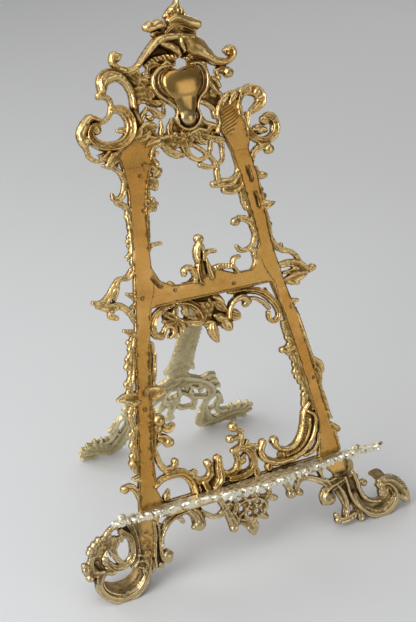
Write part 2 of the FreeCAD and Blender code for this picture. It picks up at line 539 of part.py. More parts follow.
def right_foot_strokes():
    """Stem, volute, small scrolled toe, flower and end leaf of the right foot."""
    bands = [
        [(91, 66, 22), (93, 50, 20), (96, 36, 20), (101, 22, 18), (104, 16, 10)],
        [(92, 44, 6), (84, 40.5, 7), (77, 35, 7), (74, 29, 6)],
        [(86, 40, 5), (90, 32, 6), (95, 22, 7), (98, 10, 7)],
        [(104, 48, 5), (107, 40, 6), (108, 30, 8), (112, 20, 8)],
        [(110, 34, 4), (114, 33, 4)],
        [(83, 11, 4), (86, 6.5, 6), (92, 6, 6), (100, 8, 6), (108, 9, 7)],
        [(105, 10, 5), (106, 3, 5)],
        [(84, 59, 5), (75, 58, 4), (74.5, 50, 3.5), (80, 43.5, 4), (86, 44, 5)],
        [(103, 58, 5), (103, 50, 6)],
        [(138, 31, 5), (146, 26, 8), (152, 18, 9), (156, 10, 8), (156.5, 5, 4)],
        [(144, 14, 6), (150, 12, 6), (155, 8, 6)],
    ]
    discs = [(77, 30.5, 7.2), (114.5, 33.5, 3), (106.5, 41, 3.2), (97, 5.5, 2.6)]
    flowers = [(133, 27, 6, 6), (131, 20, 4.5, 5)]
    faces = [band(stroke) for stroke in bands]
    faces += [disc(*values) for values in discs]
    faces += [flower(*values) for values in flowers]
    return faces


LEFT_FOOT_SCROLL = [(-93, 32, 5), (-94.5, 20, 5), (-99, 10, 5), (-107, 3, 5), (-118, 0.5, 5.5),
                    (-129, 4.5, 5.5), (-136.5, 13, 5.5), (-137, 22, 5.5), (-131, 28, 5),
                    (-124, 25, 4)]
RIGHT_FOOT_SCROLL = [(102, 28, 5), (106, 16, 5), (112, 7, 5), (121, 1.3, 5), (130, 0.3, 5),
                     (139, 4, 5), (145, 12, 5), (144, 21, 5), (138, 27, 5), (131, 27, 4)]

# Where one casting ends and the next begins. Every outline is followed the same way round.
SEAMS = {
    "crest": [(-200, 338), (-41, 338), (-41, 327), (-20, 327), (-20, 322), (37.5, 322),
              (37.5, 338), (200, 338), (200, 480), (-200, 480)],
    "left_stile": [(-200, SEAM), (-76.5, SEAM), (-76.5, 104), (-72, 118), (-40, 118), (-40, 186),
                   (-58, 190), (-57, 224), (-50, 240), (-47, 262), (-15, 264), (-15, 290),
                   (-20, 300), (-20, 327), (-41, 327), (-41, 338), (-200, 338)],
    "right_stile": [(77, SEAM), (77, 108), (60, 119), (40, 119), (40, 186), (57, 186), (60, 192),
                    (60, 204), (58, 224), (50, 240), (48, 250), (40, 254.5), (15, 254.5), (15, 290),
                    (12, 300), (12, 322), (37.5, 322), (37.5, 338), (200, 338), (200, SEAM)],
    "crossrail": [(-40, 186), (-58, 190), (-57, 224), (-50, 240), (-47, 262), (-15, 264), (-15, 290),
                  (15, 290), (15, 254.5), (40, 254.5), (48, 250), (50, 240), (58, 224), (60, 204),
                  (60, 192), (57, 186)],
    "lower_rail": [(-76.5, SEAM), (-76.5, 104), (-72, 118), (-40, 118), (-20, 125), (20, 125),
                   (40, 119), (60, 119), (77, 108), (77, SEAM)],
    "apron": [(-79.5, SEAM), (-79.5, 58), (-76, 48), (-68, 42), (-68, 10), (62, 10), (62, 40),
              (73, 40), (73, SEAM)],
    "left_foot": [(-200, SEAM), (-79.5, SEAM), (-79.5, 58), (-76, 48), (-68, 42), (-68, -30),
                  (-200, -30)],
    "right_foot": [(200, SEAM), (73, SEAM), (73, 40), (62, 40), (62, -30), (200, -30)],
}


def trimmed(faces, territory):
    """The parts of some faces that lie in a territory, without crumbs."""
    pieces = []
    for face in faces:
        if face.BoundBox.intersect(territory.BoundBox):
            pieces += face.common(territory).Faces
    return [piece for piece in pieces if piece.Area > CRUMB]


def casting(name, faces, plates, extra=()):
    """One front casting: ornament and polished plates, trimmed to the casting's own territory."""
    territory = polygon(SEAMS[name])
    solids = [raised(face, BACK, RELIEF) for face in trimmed(faces, territory)]
    solids += [raised(plate, BACK, FACE) for plate in trimmed(plates, territory)]
    return merged(solids + list(extra))


def foot_scroll(stroke):
    """Deep ribbon of a foot: its edge runs level from front to back, so it stands on a line."""
    ribbon = upward(band(stroke))
    ribbon.translate(V(0, 0, FOOT_FRONT))
    lean = math.radians(LEAN)
    return ribbon.extrude(V(0, FOOT_DEPTH * math.sin(lean), -FOOT_DEPTH * math.cos(lean)))


def cylinder(u, v, r, low, high):
    """Round bar that stands out of the front's plane."""
    return Part.makeCylinder(r, high - low, V(u, v, low))


def with_holes(solid, places, r):
    """A front casting drilled straight through at some places."""
    for u, v in places:
        solid = solid.cut(cylinder(u, v, r, BACK - OVERRUN, FACE + FLANGE_THICK + OVERRUN))
    return solid


# ---------------------------------------------------------------- cartouche

def cartouche():
    """Domed shield inside a double rim, with a smaller drop below it."""
    shield = [(-18, 396, 12), (-8, 399, 26), (2, 397, 34), (12, 399, 28), (22, 396, 14)]
    neck = [(4, 384, 14), (4, 376, 11), (4, 369, 17)]
    solids = [raised(band(stroke), RELIEF, RELIEF + GROUND_THICK) for stroke in (shield, neck)]
    for u, v, off, r in (DOME, DROP):
        above = Part.makeBox(TOOL, TOOL, TOOL, V(u - TOOL / 2, v - TOOL / 2, RELIEF))
        solids.append(Part.makeSphere(r, V(u, v, off)).common(above))
    return merged(solids)


# ---------------------------------------------------------------- shelf

def shelf_depth(u):
    """How far the shelf's front edge stands out at a place along it."""
    return SHELF_DEPTH + SHELF_BULGE * math.exp(-((u - SHELF_CREST) / SHELF_SPREAD) ** 2)


def shelf_outline():
    """Plan of the shelf: straight back, scalloped serpentine front and pointed ends."""
    step = (SHELF_RIGHT - SHELF_LEFT) / SCALLOPS
    edges = []
    for index in range(SCALLOPS):
        row = [SHELF_LEFT + step * (index + part / 2) for part in range(3)]
        spots = [V(row[0], shelf_depth(row[0]) - SCALLOP_DEEP, 0), V(row[1], shelf_depth(row[1]), 0),
                 V(row[2], shelf_depth(row[2]) - SCALLOP_DEEP, 0)]
        edges.append(Part.Arc(*spots).toShape())
    front_left = V(SHELF_LEFT, shelf_depth(SHELF_LEFT) - SCALLOP_DEEP, 0)
    front_right = V(SHELF_RIGHT, shelf_depth(SHELF_RIGHT) - SCALLOP_DEEP, 0)
    back_left = V(SHELF_LEFT, FACE, 0)
    back_right = V(SHELF_RIGHT, FACE, 0)
    right_end = Part.Arc(front_right, V(*RIGHT_TIP, 0), back_right).toShape()
    left_end = Part.Arc(back_left, V(*LEFT_TIP, 0), front_left).toShape()
    back = Part.makeLine(back_right, back_left)
    return Part.Face(Part.Wire(edges + [right_end, back, left_end]))


def shelf():
    """Shelf with a hanging flange that is screwed to the frame."""
    plan = upward(shelf_outline())
    top = plan.extrude(V(0, 0, SHELF_THICK))
    top.rotate(V(0, 0, 0), V(1, 0, 0), 90)
    top.translate(V(0, SHELF_LEVEL, 0))
    flange = Part.makeBox(FLANGE_RIGHT - FLANGE_LEFT, SHELF_LEVEL - FLANGE_FOOT, FLANGE_THICK,
                          V(FLANGE_LEFT, FLANGE_FOOT, FACE))
    whole = merged([top, flange])
    return with_holes(whole, SHELF_SCREWS, SCREW_R + CLEAR)


def dome_radius(base_r, high):
    """Radius of the sphere whose cap has this base radius and height."""
    return (base_r ** 2 + high ** 2) / (2 * high)


def round_screw(u, v, low, seat):
    """Round-headed screw: shank from low to its seat and a low domed head above it."""
    shank = cylinder(u, v, SCREW_R, low, seat)
    dome_r = dome_radius(HEAD_R, HEAD_HIGH)
    head = Part.makeSphere(dome_r, V(u, v, seat + HEAD_HIGH - dome_r))
    return shank.fuse(head.common(cylinder(u, v, 2 * HEAD_R, seat, seat + 2 * HEAD_HIGH))).removeSplitter()


def shelf_screws():
    """The screws that hold the shelf's flange to the frame."""
    seat = FACE + FLANGE_THICK
    return [round_screw(u, v, BACK, seat) for u, v in SHELF_SCREWS]


# ---------------------------------------------------------------- hinge

def flipped(solid):
    """The same solid turned over, so that what stood forward of the frame's back stands behind it."""
    turned = solid.copy()
    turned.rotate(V(0, HINGE_V, BACK), V(1, 0, 0), 180)
    return turned


def bracket_screws():
    """Four screws that hold the hinge bracket to the crossrail."""
    seat = BACK + PLATE_THICK
    screws = []
    for u, v in BRACKET_SCREWS:
        mirrored = 2 * HINGE_V - v
        screws.append(flipped(round_screw(u, mirrored, BACK - SCREW_BITE, seat)))
    return screws


def pin_bore(play):
    """Cutting bar along the hinge axis, wider than the pin by some radial play."""
    return Part.makeCylinder(PIN_R + play, TOOL, V(-TOOL / 2, HINGE_V, HINGE_OFF), V(1, 0, 0))


def hinge_bracket():
    """Base plate on the crossrail's back with two ears that carry the pin."""
    plate = Part.makeBox(2 * PLATE_HALF, PLATE_TOP - PLATE_FOOT, PLATE_THICK,
                         V(-PLATE_HALF, PLATE_FOOT, BACK - PLATE_THICK))
    ears = []
    for side in (-1, 1):
        start = side * EAR_IN if side > 0 else -EAR_IN - EAR_THICK
        barrel = Part.makeCylinder(KNUCKLE_R, EAR_THICK, V(start, HINGE_V, HINGE_OFF), V(1, 0, 0))
        web = Part.makeBox(EAR_THICK, 2 * KNUCKLE_R, BACK - HINGE_OFF,
                           V(start, HINGE_V - KNUCKLE_R, HINGE_OFF))
        ears += [barrel, web]
    whole = merged([plate] + ears)
    whole = whole.cut(pin_bore(CLEAR / 2))
    for u, v in BRACKET_SCREWS:
        whole = whole.cut(cylinder(u, v, SCREW_R + CLEAR, BACK - PLATE_THICK - OVERRUN, BACK + OVERRUN))
    return whole


def hinge_pin():
    """Pin with a peened dome at each end."""
    reach = EAR_IN + EAR_THICK
    pin = Part.makeCylinder(PIN_R, 2 * reach, V(-reach, HINGE_V, HINGE_OFF), V(1, 0, 0))
    solids = [pin]
    dome_r = dome_radius(PIN_HEAD_R, PIN_HEAD_HIGH)
    for side in (-1, 1):
        dome = Part.makeSphere(dome_r, V(side * (reach + PIN_HEAD_HIGH - dome_r), HINGE_V, HINGE_OFF))
        start = V(side * reach, HINGE_V, HINGE_OFF)
        solids.append(dome.common(Part.makeCylinder(2 * PIN_HEAD_R, TOOL, start, V(side, 0, 0))))
    return merged(solids)


# ---------------------------------------------------------------- rear leg

def half_leg(side, spread):
    """Branch, ring and leaf foot of one side of the leg; spread widens the foot."""
    bands = [
        [(2, 104, 14), (14, 98, 14), (27, 91, 11), (36, 82, 12), (42, 72, 11), (44, 60, 10)],
        [(28, 95, 6), (34, 98, 6), (39, 97, 5)],
        [(27, 88, 6), (30, 80, 6), (30, 73, 4)],
        [(12, 94, 8), (14, 85, 5)],
        [(44, 62, 8), (51, 60, 5), (55, 54, 5), (57, 47, 6), (60, 42, 3)],
        [(56, 50, 5), (55, 40, 5), (57, 31, 5), (62, 25, 6), (68, 24, 6)],
        [(43, 62, 8), (41, 50, 5), (42, 38, 7), (45, 26, 12), (49, 15, 14), (57, 8, 14)],
        [(41, 36, 4), (48, 34, 4), (54, 36, 4)],
    ]
    lobes = [
        [(52, 8, 12), (62, 10, 18), (74, 11, 22)],
        [(64, 12, 12), (70, 22, 10), (73, 33, 4)],
        [(68, 14, 14), (76, 24, 11), (82, 32, 4)],
        [(72, 13, 14), (83, 19, 11), (90, 23, 4)],
        [(74, 10, 14), (87, 11, 11), (95, 13, 4)],
        [(74, 6, 12), (88, 4.5, 9), (98, 2.5, 4)],
        [(60, 6, 12), (72, 4, 9), (84, 3, 6)],
    ]
    faces = []
    for stroke in bands + lobes:
        faces.append(band([(side * (u + spread * max(u - 44, 0) / 50), v, w) for u, v, w in stroke]))
    faces.append(leaf([(side * 41, 32, 6), (side * 42, 20, 11), (side * 45, 8, 9)], 2))
    return faces


def leg_scrollwork():
    """Pierced scrollwork that hangs between the leg's two branches."""
    faces = []
    for side in (-1, 1):
        for stroke in [
            [(3, 92, 4), (6, 84, 4), (8, 76, 5), (4, 68, 8)],
            [(9, 80, 4), (18, 72, 5), (25, 63, 6), (28, 54, 5), (27, 46, 5)],
            [(4, 66, 8), (9, 56, 5), (16, 50, 5), (24, 49, 5), (29, 44, 4)],
            [(26, 66, 4), (33, 62, 5), (42, 60, 5)],
        ]:
            faces.append(band([(side * u, v, w) for u, v, w in stroke]))
    faces.append(band([(2, 68, 10), (3, 58, 8), (4, 46, 5), (4, 38, 7)]))
    faces.append(flower(2, 67, 8, 6))
    faces.append(flower(4, 38, 5, 5))
    return faces


def leg_strut():
    """Leaf-edged bar between the knuckle and the branches, with barbs where it narrows."""
    rows = [(0, LEG_LENGTH, 18), (0, 200, 19), (0, 170, 20), (0, 145, 21), (0, 126, 23), (0, 112, 16)]
    barbs = [[(6, 130, 8), (11, 123, 6), (14, 118, 3)], [(-6, 130, 8), (-9, 123, 6), (-12, 118, 3)]]
    faces = [band(rows), band([(0, 118, 15), (0, 108, 18), (1, 100, 28)])]
    return faces + [band(stroke) for stroke in barbs]


def leg_in_front_plane(shape):
    """Move a shape from the leg's own plane into the front's plane, at rest."""
    shape.rotate(V(0, LEG_LENGTH, 0), V(1, 0, 0), LEAN + LEG_TILT)
    shape.translate(V(0, HINGE_V - LEG_LENGTH, HINGE_OFF))
    return shape


def rear_leg():
    """Folding leg with its knuckle and stop heel, in the front's plane and cut level at the floor."""
    faces = leg_strut() + half_leg(1, 0) + half_leg(-1, -13) + leg_scrollwork()
    solids = [raised(face, -LEG_THICK / 2, LEG_THICK / 2) for face in faces]
    heel = Part.makeBox(2 * HEEL_HALF, HEEL_REACH, LEG_THICK, V(-HEEL_HALF, LEG_LENGTH, -LEG_THICK / 2))
    solids.append(heel)
    knuckle_half = EAR_IN - EAR_GAP
    knuckle = Part.makeCylinder(KNUCKLE_R, 2 * knuckle_half, V(-knuckle_half, LEG_LENGTH, 0), V(1, 0, 0))
    leg = leg_in_front_plane(merged(solids + [knuckle]))
    ahead = Part.makeBox(TOOL, TOOL, TOOL,
                         V(-TOOL / 2, HINGE_V - TOOL / 2, BACK - PLATE_THICK - STOP_GAP))
    return leg.cut(pin_bore(RUNNING)).cut(ahead)


# ---------------------------------------------------------------- assembly

def standing(shape):
    """Lean the front's plane back, so that the object stands on the floor."""
    shape.rotate(V(0, 0, 0), V(1, 0, 0), 90 - LEAN)
    return shape


def cut_level(shape):
    """Flatten what would reach below the floor."""
    side = 10 * TOOL
    ground = Part.makeBox(side, side, TOOL, V(-side / 2, -side / 2, -TOOL))
    return shape.cut(ground)


def front_castings():
    """All castings of the front, by name."""
    faces = (crest_strokes() + left_stile_strokes() + right_stile_strokes() + crossrail_strokes()
             + lower_rail_strokes() + apron_strokes() + left_foot_strokes() + right_foot_strokes())
    plates = stile_faces()
    scrolls = {"left_foot": [foot_scroll(LEFT_FOOT_SCROLL)],
               "right_foot": [foot_scroll(RIGHT_FOOT_SCROLL)]}
    parts = {name: casting(name, faces, plates, scrolls.get(name, ())) for name in SEAMS}
    parts["apron"] = with_holes(parts["apron"], SHELF_SCREWS, SCREW_R + CLEAR)
    for u, v in BRACKET_SCREWS:
        socket = cylinder(u, v, SCREW_R + CLEAR, BACK - 1, BACK + SCREW_BITE + CLEAR)
        parts["crossrail"] = parts["crossrail"].cut(socket)
    return parts


def build():
    """Every node of the easel, standing on the floor with its box centred on the origin."""
    parts = front_castings()
    parts["cartouche"] = cartouche()
    parts["shelf"] = shelf()
    parts["shelf_screws"] = Part.makeCompound(shelf_screws())
    parts["hinge_bracket"] = hinge_bracket()
    parts["bracket_screws"] = Part.makeCompound(bracket_screws())
    parts["hinge_pin"] = hinge_pin()
    parts["rear_leg"] = rear_leg()
    nodes = {}
    for name, shape in parts.items():
        shape = standing(shape)
        if name in ("left_foot", "right_foot", "rear_leg"):
            shape = cut_level(shape)
        nodes[name] = shape
    box = Part.makeCompound(list(nodes.values())).optimalBoundingBox(False, False)
    shift = V(-box.Center.x, -box.Center.y, 0)
    for shape in nodes.values():
        shape.translate(shift)
    return nodes, shift


def main():
    """Write one STEP file per node."""
    os.makedirs("parts", exist_ok=True)
    nodes, shift = build()
    for name, shape in nodes.items():
        shape.exportStep(os.path.join("parts", name + ".step"))
    lean = math.radians(LEAN)
    print("shift", shift.x, shift.y, shift.z)
    print("hinge", shift.x, HINGE_Y + shift.y, HINGE_Z + shift.z)
    middle = 12.0
    top_y = SHELF_LEVEL * math.sin(lean) - middle * math.cos(lean) + shift.y
    top_z = SHELF_LEVEL * math.cos(lean) + middle * math.sin(lean) + shift.z
    print("shelf top", shift.x, top_y, top_z)


main()
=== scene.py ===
import json
import math

import bpy
import numpy as np
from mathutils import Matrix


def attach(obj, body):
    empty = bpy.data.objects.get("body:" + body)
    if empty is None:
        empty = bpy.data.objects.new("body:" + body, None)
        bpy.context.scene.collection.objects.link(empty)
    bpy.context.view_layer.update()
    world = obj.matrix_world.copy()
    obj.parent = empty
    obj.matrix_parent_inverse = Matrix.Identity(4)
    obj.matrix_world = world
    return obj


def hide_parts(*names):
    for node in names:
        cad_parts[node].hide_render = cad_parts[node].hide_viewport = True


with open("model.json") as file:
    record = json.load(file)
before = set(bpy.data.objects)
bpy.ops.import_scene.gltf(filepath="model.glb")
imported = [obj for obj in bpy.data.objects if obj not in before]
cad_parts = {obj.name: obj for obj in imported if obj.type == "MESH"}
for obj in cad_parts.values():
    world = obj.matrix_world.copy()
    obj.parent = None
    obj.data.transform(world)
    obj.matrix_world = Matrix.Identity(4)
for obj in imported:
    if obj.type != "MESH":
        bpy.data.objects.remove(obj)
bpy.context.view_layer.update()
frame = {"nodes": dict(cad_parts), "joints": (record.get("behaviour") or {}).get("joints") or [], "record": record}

import openvdb as vdb
from mathutils import Vector

# Looks of the brass easel. Each casting is sculpted as a relief: strokes, beads, flowers and plates
# raise a height map over the casting's own plane, and the map is turned into a closed mesh.
# Sculpting is in millimetres in the front's leaning plane (u right, v up the lean, w out of it)
# or in the rear leg's plane. The frame's hinge and shelf mount say where those planes stand.

JOINT = frame["joints"][0]
MOUNTS = {mount["name"]: mount for mount in frame["record"]["mounts"]}
MM = 0.001

CELL = 0.5              # edge of the sculpting cells
MERGE = 0.05            # how readily nearly flat neighbouring faces are joined
BACK = -3.0             # w of the flat back of the front castings
FACE = 3.0              # w of the polished faces
PLATE_BEVEL = 1.1       # width of their bevelled edges
HINGE_V = 234.0         # the hinge axis in the front's plane
HINGE_W = -13.0
REAR_REACH = 200.5      # how far the rear feet stand behind the frame's foot line
SEAM = 66.0             # v of the joint between the feet and apron and what stands above them
SHELF_LEVEL = 69.0      # v of the shelf's top

LINE_STEP = 0.6         # distance between the places of a smoothed stroke
NOTHING = 9.0           # outline distance, and depth, where no shape stands
COVERED = -5.0          # heights above this belong to a shape
OVERRUN = 0.7           # how far a shape's height is kept past its outline
WIDE = 2.45             # half width from which a plain stroke is hollowed
STEEP = 0.95            # rise of a plain stroke for each millimetre of its half width
HIGHEST = 3.3           # rise at which plain strokes stop growing
FLOWER_LIFT = 1.2       # height at which a flower starts
FAR = 3.0               # distance beyond which fields are no longer measured
MARGIN = 4              # cells kept round a casting
RIBBON_ROOM = 5         # room kept round a foot's deep ribbon
FRONT_CORNERS = ((-160, -10), (162, 464))   # low and high corner of the front's relief
LAP = 0.6               # how far neighbouring castings run into each other
SINK = 0.035            # slope at which they sink there
FRONT_DEPTHS = (-4.0, 8.0)      # w range of a casting's cells
FOOT_DEPTHS = (-17.5, 8.0)      # w range of a foot's cells
OUTSIDE_TONE = 0.06     # "raised" of places just outside the relief's outline
WALL_SHADE = 0.05       # painted shade: loss of "raised" for each millimetre down a side wall
FOOT_SHADE = 0.015      # the same on the feet
BUMP_DEPTH = 0.00008    # depth of the brass's fine grain, in metres
SEEDS = {"beads": 5, "dents": 17, "ragged": 19, "front": 11, "cartouche": 31, "shelf": 51,
         "shelf_fine": 53, "flange": 57, "leg": 71}

LEAN = math.atan2(MOUNTS["shelf_top"]["axis"][1], MOUNTS["shelf_top"]["axis"][2])
HINGE_Y = HINGE_V * math.sin(LEAN) - HINGE_W * math.cos(LEAN)
HINGE_Z = HINGE_V * math.cos(LEAN) + HINGE_W * math.sin(LEAN)
SHIFT = Vector(JOINT["pos_m"]) - MM * Vector((0, HINGE_Y, HINGE_Z))
LEG_LENGTH = math.hypot(REAR_REACH - HINGE_Y, HINGE_Z)
LEG_TILT = math.atan2(REAR_REACH - HINGE_Y, HINGE_Z)


# ---------------------------------------------------------------- relief

def smooth_line(stroke):
    """Places, half widths, distance run and direction at close steps along a smooth stroke."""
    rows = np.array(stroke, float)
    gaps = np.linalg.norm(np.diff(rows[:, :2], axis=0), axis=1)
    slopes = np.diff(rows, axis=0) / gaps[:, None]
    before, after = gaps[:-1, None], gaps[1:, None]
    middle = (slopes[:-1] * after + slopes[1:] * before) / (after + before)
    tangents = np.vstack([slopes[:1], middle, slopes[-1:]])
    pieces = []
    for index, gap in enumerate(gaps):
        t = np.arange(0, 1, LINE_STEP / gap)[:, None]
        start, end = rows[index], rows[index + 1]
        pieces.append((2 * t ** 3 - 3 * t ** 2 + 1) * start
                      + (t ** 3 - 2 * t ** 2 + t) * gap * tangents[index]
                      + (3 * t ** 2 - 2 * t ** 3) * end
                      + (t ** 3 - t ** 2) * gap * tangents[index + 1])
    line = np.vstack(pieces + [rows[-1:]])
    steps = np.diff(line[:, :2], axis=0)
    run = np.concatenate([[0], np.cumsum(np.linalg.norm(steps, axis=1))])
    ahead = np.vstack([steps, steps[-1:]])
    ahead /= np.linalg.norm(ahead, axis=1)[:, None] + 1e-9
    return line[:, :2], line[:, 2] / 2, run, ahead


def dome(q, side, run, half):
    """Half-round section."""
    return np.sqrt(1 - q ** 2)


def gouge(q, side, run, half):
    """One high rolled rim, a broad shallow hollow and a lower rim."""
    across = side * q
    hollow = 0.34 * np.exp(-((across + 0.12) / 0.42) ** 2)
    return np.sqrt(1 - q ** 5) * (0.8 + 0.2 * across - hollow)


def channel(q, side, run, half):
    """Wide scroll: a high rolled outer rim that falls smoothly into a hollow inner band."""
    across = side * q
    rim = np.exp(-((across - 0.62) / 0.3) ** 2)
    return np.sqrt(1 - q ** 6) * (0.45 + 0.5 * rim + 0.12 * np.cos(9 * across))


def twin(q, side, run, half):
    """Two rounded ridges side by side."""
    return np.sqrt(1 - q ** 6) * (0.66 + 0.34 * np.cos(5.2 * side * q + 0.5))


def reed(q, side, run, half):
    """Rounded section with grooves that run along it."""
    return np.sqrt(1 - q ** 2) * (0.82 + 0.18 * np.cos(3.2 * math.pi * q * side + 0.6))


def keel(q, side, run, half):
    """Leaf section: a sharp midrib, veins that slant off it and a lifted edge."""
    vein = 0.13 * np.cos(2 * math.pi * (run - 0.9 * q * half) / 2.6)
    return 0.45 + 0.55 * (1 - q) ** 1.5 + vein * q - 0.45 * q ** 6


def rope(q, side, run, half):
    """Row of slanting lobes."""
    return np.sqrt(1 - q ** 2) * (0.72 + 0.28 * np.cos(2 * math.pi * (run / 3.4 + 0.3 * side * q)))


def ribs(q, side, run, half):
    """Shell section: ribs that run across it."""
    return (1 - 0.5 * q ** 2) * (0.6 + 0.4 * np.abs(np.sin(math.pi * run / 2.4)))


def flat(q, side, run, half):
    """Level section with rounded edges."""
    return np.sqrt(1 - q ** 8)


class Relief:
    """Outline distance and height of a relief over a grid of its plane, in millimetres."""

    def __init__(self, low, high, cell=CELL):
        self.low = np.array(low, float)
        self.cell = cell
        self.us = np.arange(low[0], high[0], cell)
        self.vs = np.arange(low[1], high[1], cell)
        shape = (len(self.us), len(self.vs))
        self.edge = np.full(shape, NOTHING)
        self.top = np.full(shape, -NOTHING)
        self.polish = np.zeros(shape)

    def window(self, low, high, margin=2.0):
        """Slices of the grid round a region, and the places in them."""
        first = np.floor((np.array(low) - margin - self.low) / self.cell).astype(int)
        last = np.ceil((np.array(high) + margin - self.low) / self.cell).astype(int) + 1
        cut = tuple(slice(max(a, 0), max(b, 0)) for a, b in zip(first, last))
        return cut, np.stack(np.meshgrid(self.us[cut[0]], self.vs[cut[1]], indexing="ij"), -1)

    def join(self, cut, edge, top, blend=0.9, polish=0.0):
        """Add a shape: outlines melt into each other, and the higher surface wins."""
        old = self.edge[cut]
        near = np.clip(0.5 + 0.5 * (old - edge) / blend, 0, 1)
        self.edge[cut] = old + (edge - old) * near - blend * near * (1 - near)
        inside = (edge < OVERRUN) & (top > self.top[cut])
        self.top[cut] = np.where(inside, top, self.top[cut])
        self.polish[cut] = np.where(inside, polish, self.polish[cut])

    def stroke(self, points, section=None, rise=None, lift=1.0, polish=0.0):
        """Add a ribbon of changing width with a given cross section."""
        places, halves, run, ahead = smooth_line(points)
        widest = halves.max()
        section = section or (gouge if widest >= WIDE else dome)
        cut, spots = self.window(places.min(0) - widest, places.max(0) + widest)
        flat_spots = spots.reshape(-1, 2)
        apart = np.sqrt(((flat_spots[:, None, :] - places[None]) ** 2).sum(-1))
        nearest = (apart - halves[None]).argmin(1)
        rows = np.arange(len(nearest))
        distance, half = apart[rows, nearest], halves[nearest]
        offset = flat_spots - places[nearest]
        side = np.sign(ahead[nearest, 0] * offset[:, 1] - ahead[nearest, 1] * offset[:, 0])
        q = np.clip(distance / half, 0, 1)
        high = rise if rise is not None else np.minimum(STEEP * half, HIGHEST)
        top = lift + high * section(q, side, run[nearest], half)
        shape = spots.shape[:2]
        self.join(cut, (distance - half).reshape(shape), top.reshape(shape), polish=polish)

    def bead(self, u, v, r, rise=None, lift=0.8):
        """Add a round boss."""
        cut, spots = self.window((u - r, v - r), (u + r, v + r))
        distance = np.hypot(spots[..., 0] - u, spots[..., 1] - v)
        q = np.clip(distance / r, 0, 1)
        self.join(cut, distance - r, lift + (rise or 0.9 * r) * np.sqrt(1 - q ** 2))

    def flower(self, u, v, r, petals):
        """Add a flower: cupped petals round a raised centre."""
        cut, spots = self.window((u - r, v - r), (u + r, v + r))
        du, dv = spots[..., 0] - u, spots[..., 1] - v
        distance, wave = np.hypot(du, dv), np.abs(np.cos(petals * np.arctan2(dv, du) / 2))
        reach = r * (0.74 + 0.26 * wave ** 0.7)
        q = np.clip(distance / reach, 0, 1)
        cup = 0.8 * q * (1 - q ** 5) * (0.45 + 0.55 * wave) + 0.55 * np.exp(-(q / 0.24) ** 2)
        self.join(cut, distance - reach, FLOWER_LIFT + 0.42 * r * cup + 0.15 * r)

    def plate(self, corners, high):
        """Add a polished flat with bevelled edges."""
        corners = np.array(corners, float)
        cut, spots = self.window(corners.min(0), corners.max(0))
        edge = polygon_distance(spots, corners)
        top = high - 0.8 * np.clip(1 + edge / PLATE_BEVEL, 0, 1) ** 2
        self.join(cut, edge, top, blend=0.4, polish=1.0)

    def pierce(self, u, v, r_u, r_v, turn=0.0):
        """Cut an oval hole."""
        reach = max(r_u, r_v)
        cut, spots = self.window((u - reach, v - reach), (u + reach, v + reach), 3.0)
        du, dv = spots[..., 0] - u, spots[..., 1] - v
        along = (du * math.cos(turn) + dv * math.sin(turn)) / r_u
        across = (dv * math.cos(turn) - du * math.sin(turn)) / r_v
        self.edge[cut] = np.maximum(self.edge[cut], (1 - np.hypot(along, across)) * min(r_u, r_v))

    def ground(self, corners, high):
        """Add a low field that joins the ornament standing on it."""
        corners = np.array(corners, float)
        cut, spots = self.window(corners.min(0), corners.max(0))
        edge = polygon_distance(spots, corners)
        self.join(cut, edge, high - 0.6 * np.clip(1 + edge, 0, 1) ** 2)

    def dent(self, u, v, r_u, r_v, deep, turn=0.0):
        """Sink a soft oval pit into whatever is there."""
        reach = 3 * max(r_u, r_v)
        cut, spots = self.window((u - reach, v - reach), (u + reach, v + reach))
        du, dv = spots[..., 0] - u, spots[..., 1] - v
        along = du * math.cos(turn) + dv * math.sin(turn)
        across = dv * math.cos(turn) - du * math.sin(turn)
        pit = np.exp(-((along / r_u) ** 4 + (across / r_v) ** 4))
        self.top[cut] -= deep * pit
        self.polish[cut] *= 1 - pit

    def add_table(self, table):
        """Add a table's shapes. Grounds are low fields under ornament. Strokes are (u, v, width)
        places along a ribbon. Sections are strokes with a cross section and rise of their own."""
        for corners, high in table.get("grounds", []):
            self.ground(corners, high)
        for stroke in table.get("strokes", []):
            self.stroke(stroke)
        for section, rise, stroke in table.get("sections", []):
            self.stroke(stroke, section, rise)
        for kind, add in (("beads", self.bead), ("flowers", self.flower), ("holes", self.pierce)):
            for values in table.get(kind, []):
                add(*values)


def polygon_distance(spots, corners):
    """Signed distance from places to a polygon's outline, negative inside."""
    u, v = spots[..., 0], spots[..., 1]
    best = np.full(u.shape, 1e9)
    inside = np.zeros(u.shape, bool)
    for (u0, v0), (u1, v1) in zip(corners, np.roll(corners, -1, axis=0)):
        du, dv = u1 - u0, v1 - v0
        share = np.clip(((u - u0) * du + (v - v0) * dv) / (du * du + dv * dv), 0, 1)
        best = np.minimum(best, np.hypot(u - u0 - share * du, v - v0 - share * dv))
        if dv:
            inside ^= ((v0 > v) != (v1 > v)) & (u < u0 + (v - v0) * du / dv)
    return np.where(inside, -best, best)


def blurred(field, sigma):
    """Gaussian blur, with sigma in cells."""
    a = np.fft.fftfreq(field.shape[0])[:, None]
    b = np.fft.rfftfreq(field.shape[1])[None]
    spread = np.exp(-2 * (math.pi * sigma) ** 2 * (a ** 2 + b ** 2))
    return np.fft.irfft2(np.fft.rfft2(field) * spread, s=field.shape)


def lumps(shape, sigma, seed):
    """Smooth random field of unit spread."""
    noise = blurred(np.random.default_rng(seed).standard_normal(shape), sigma)
    return noise / noise.std()


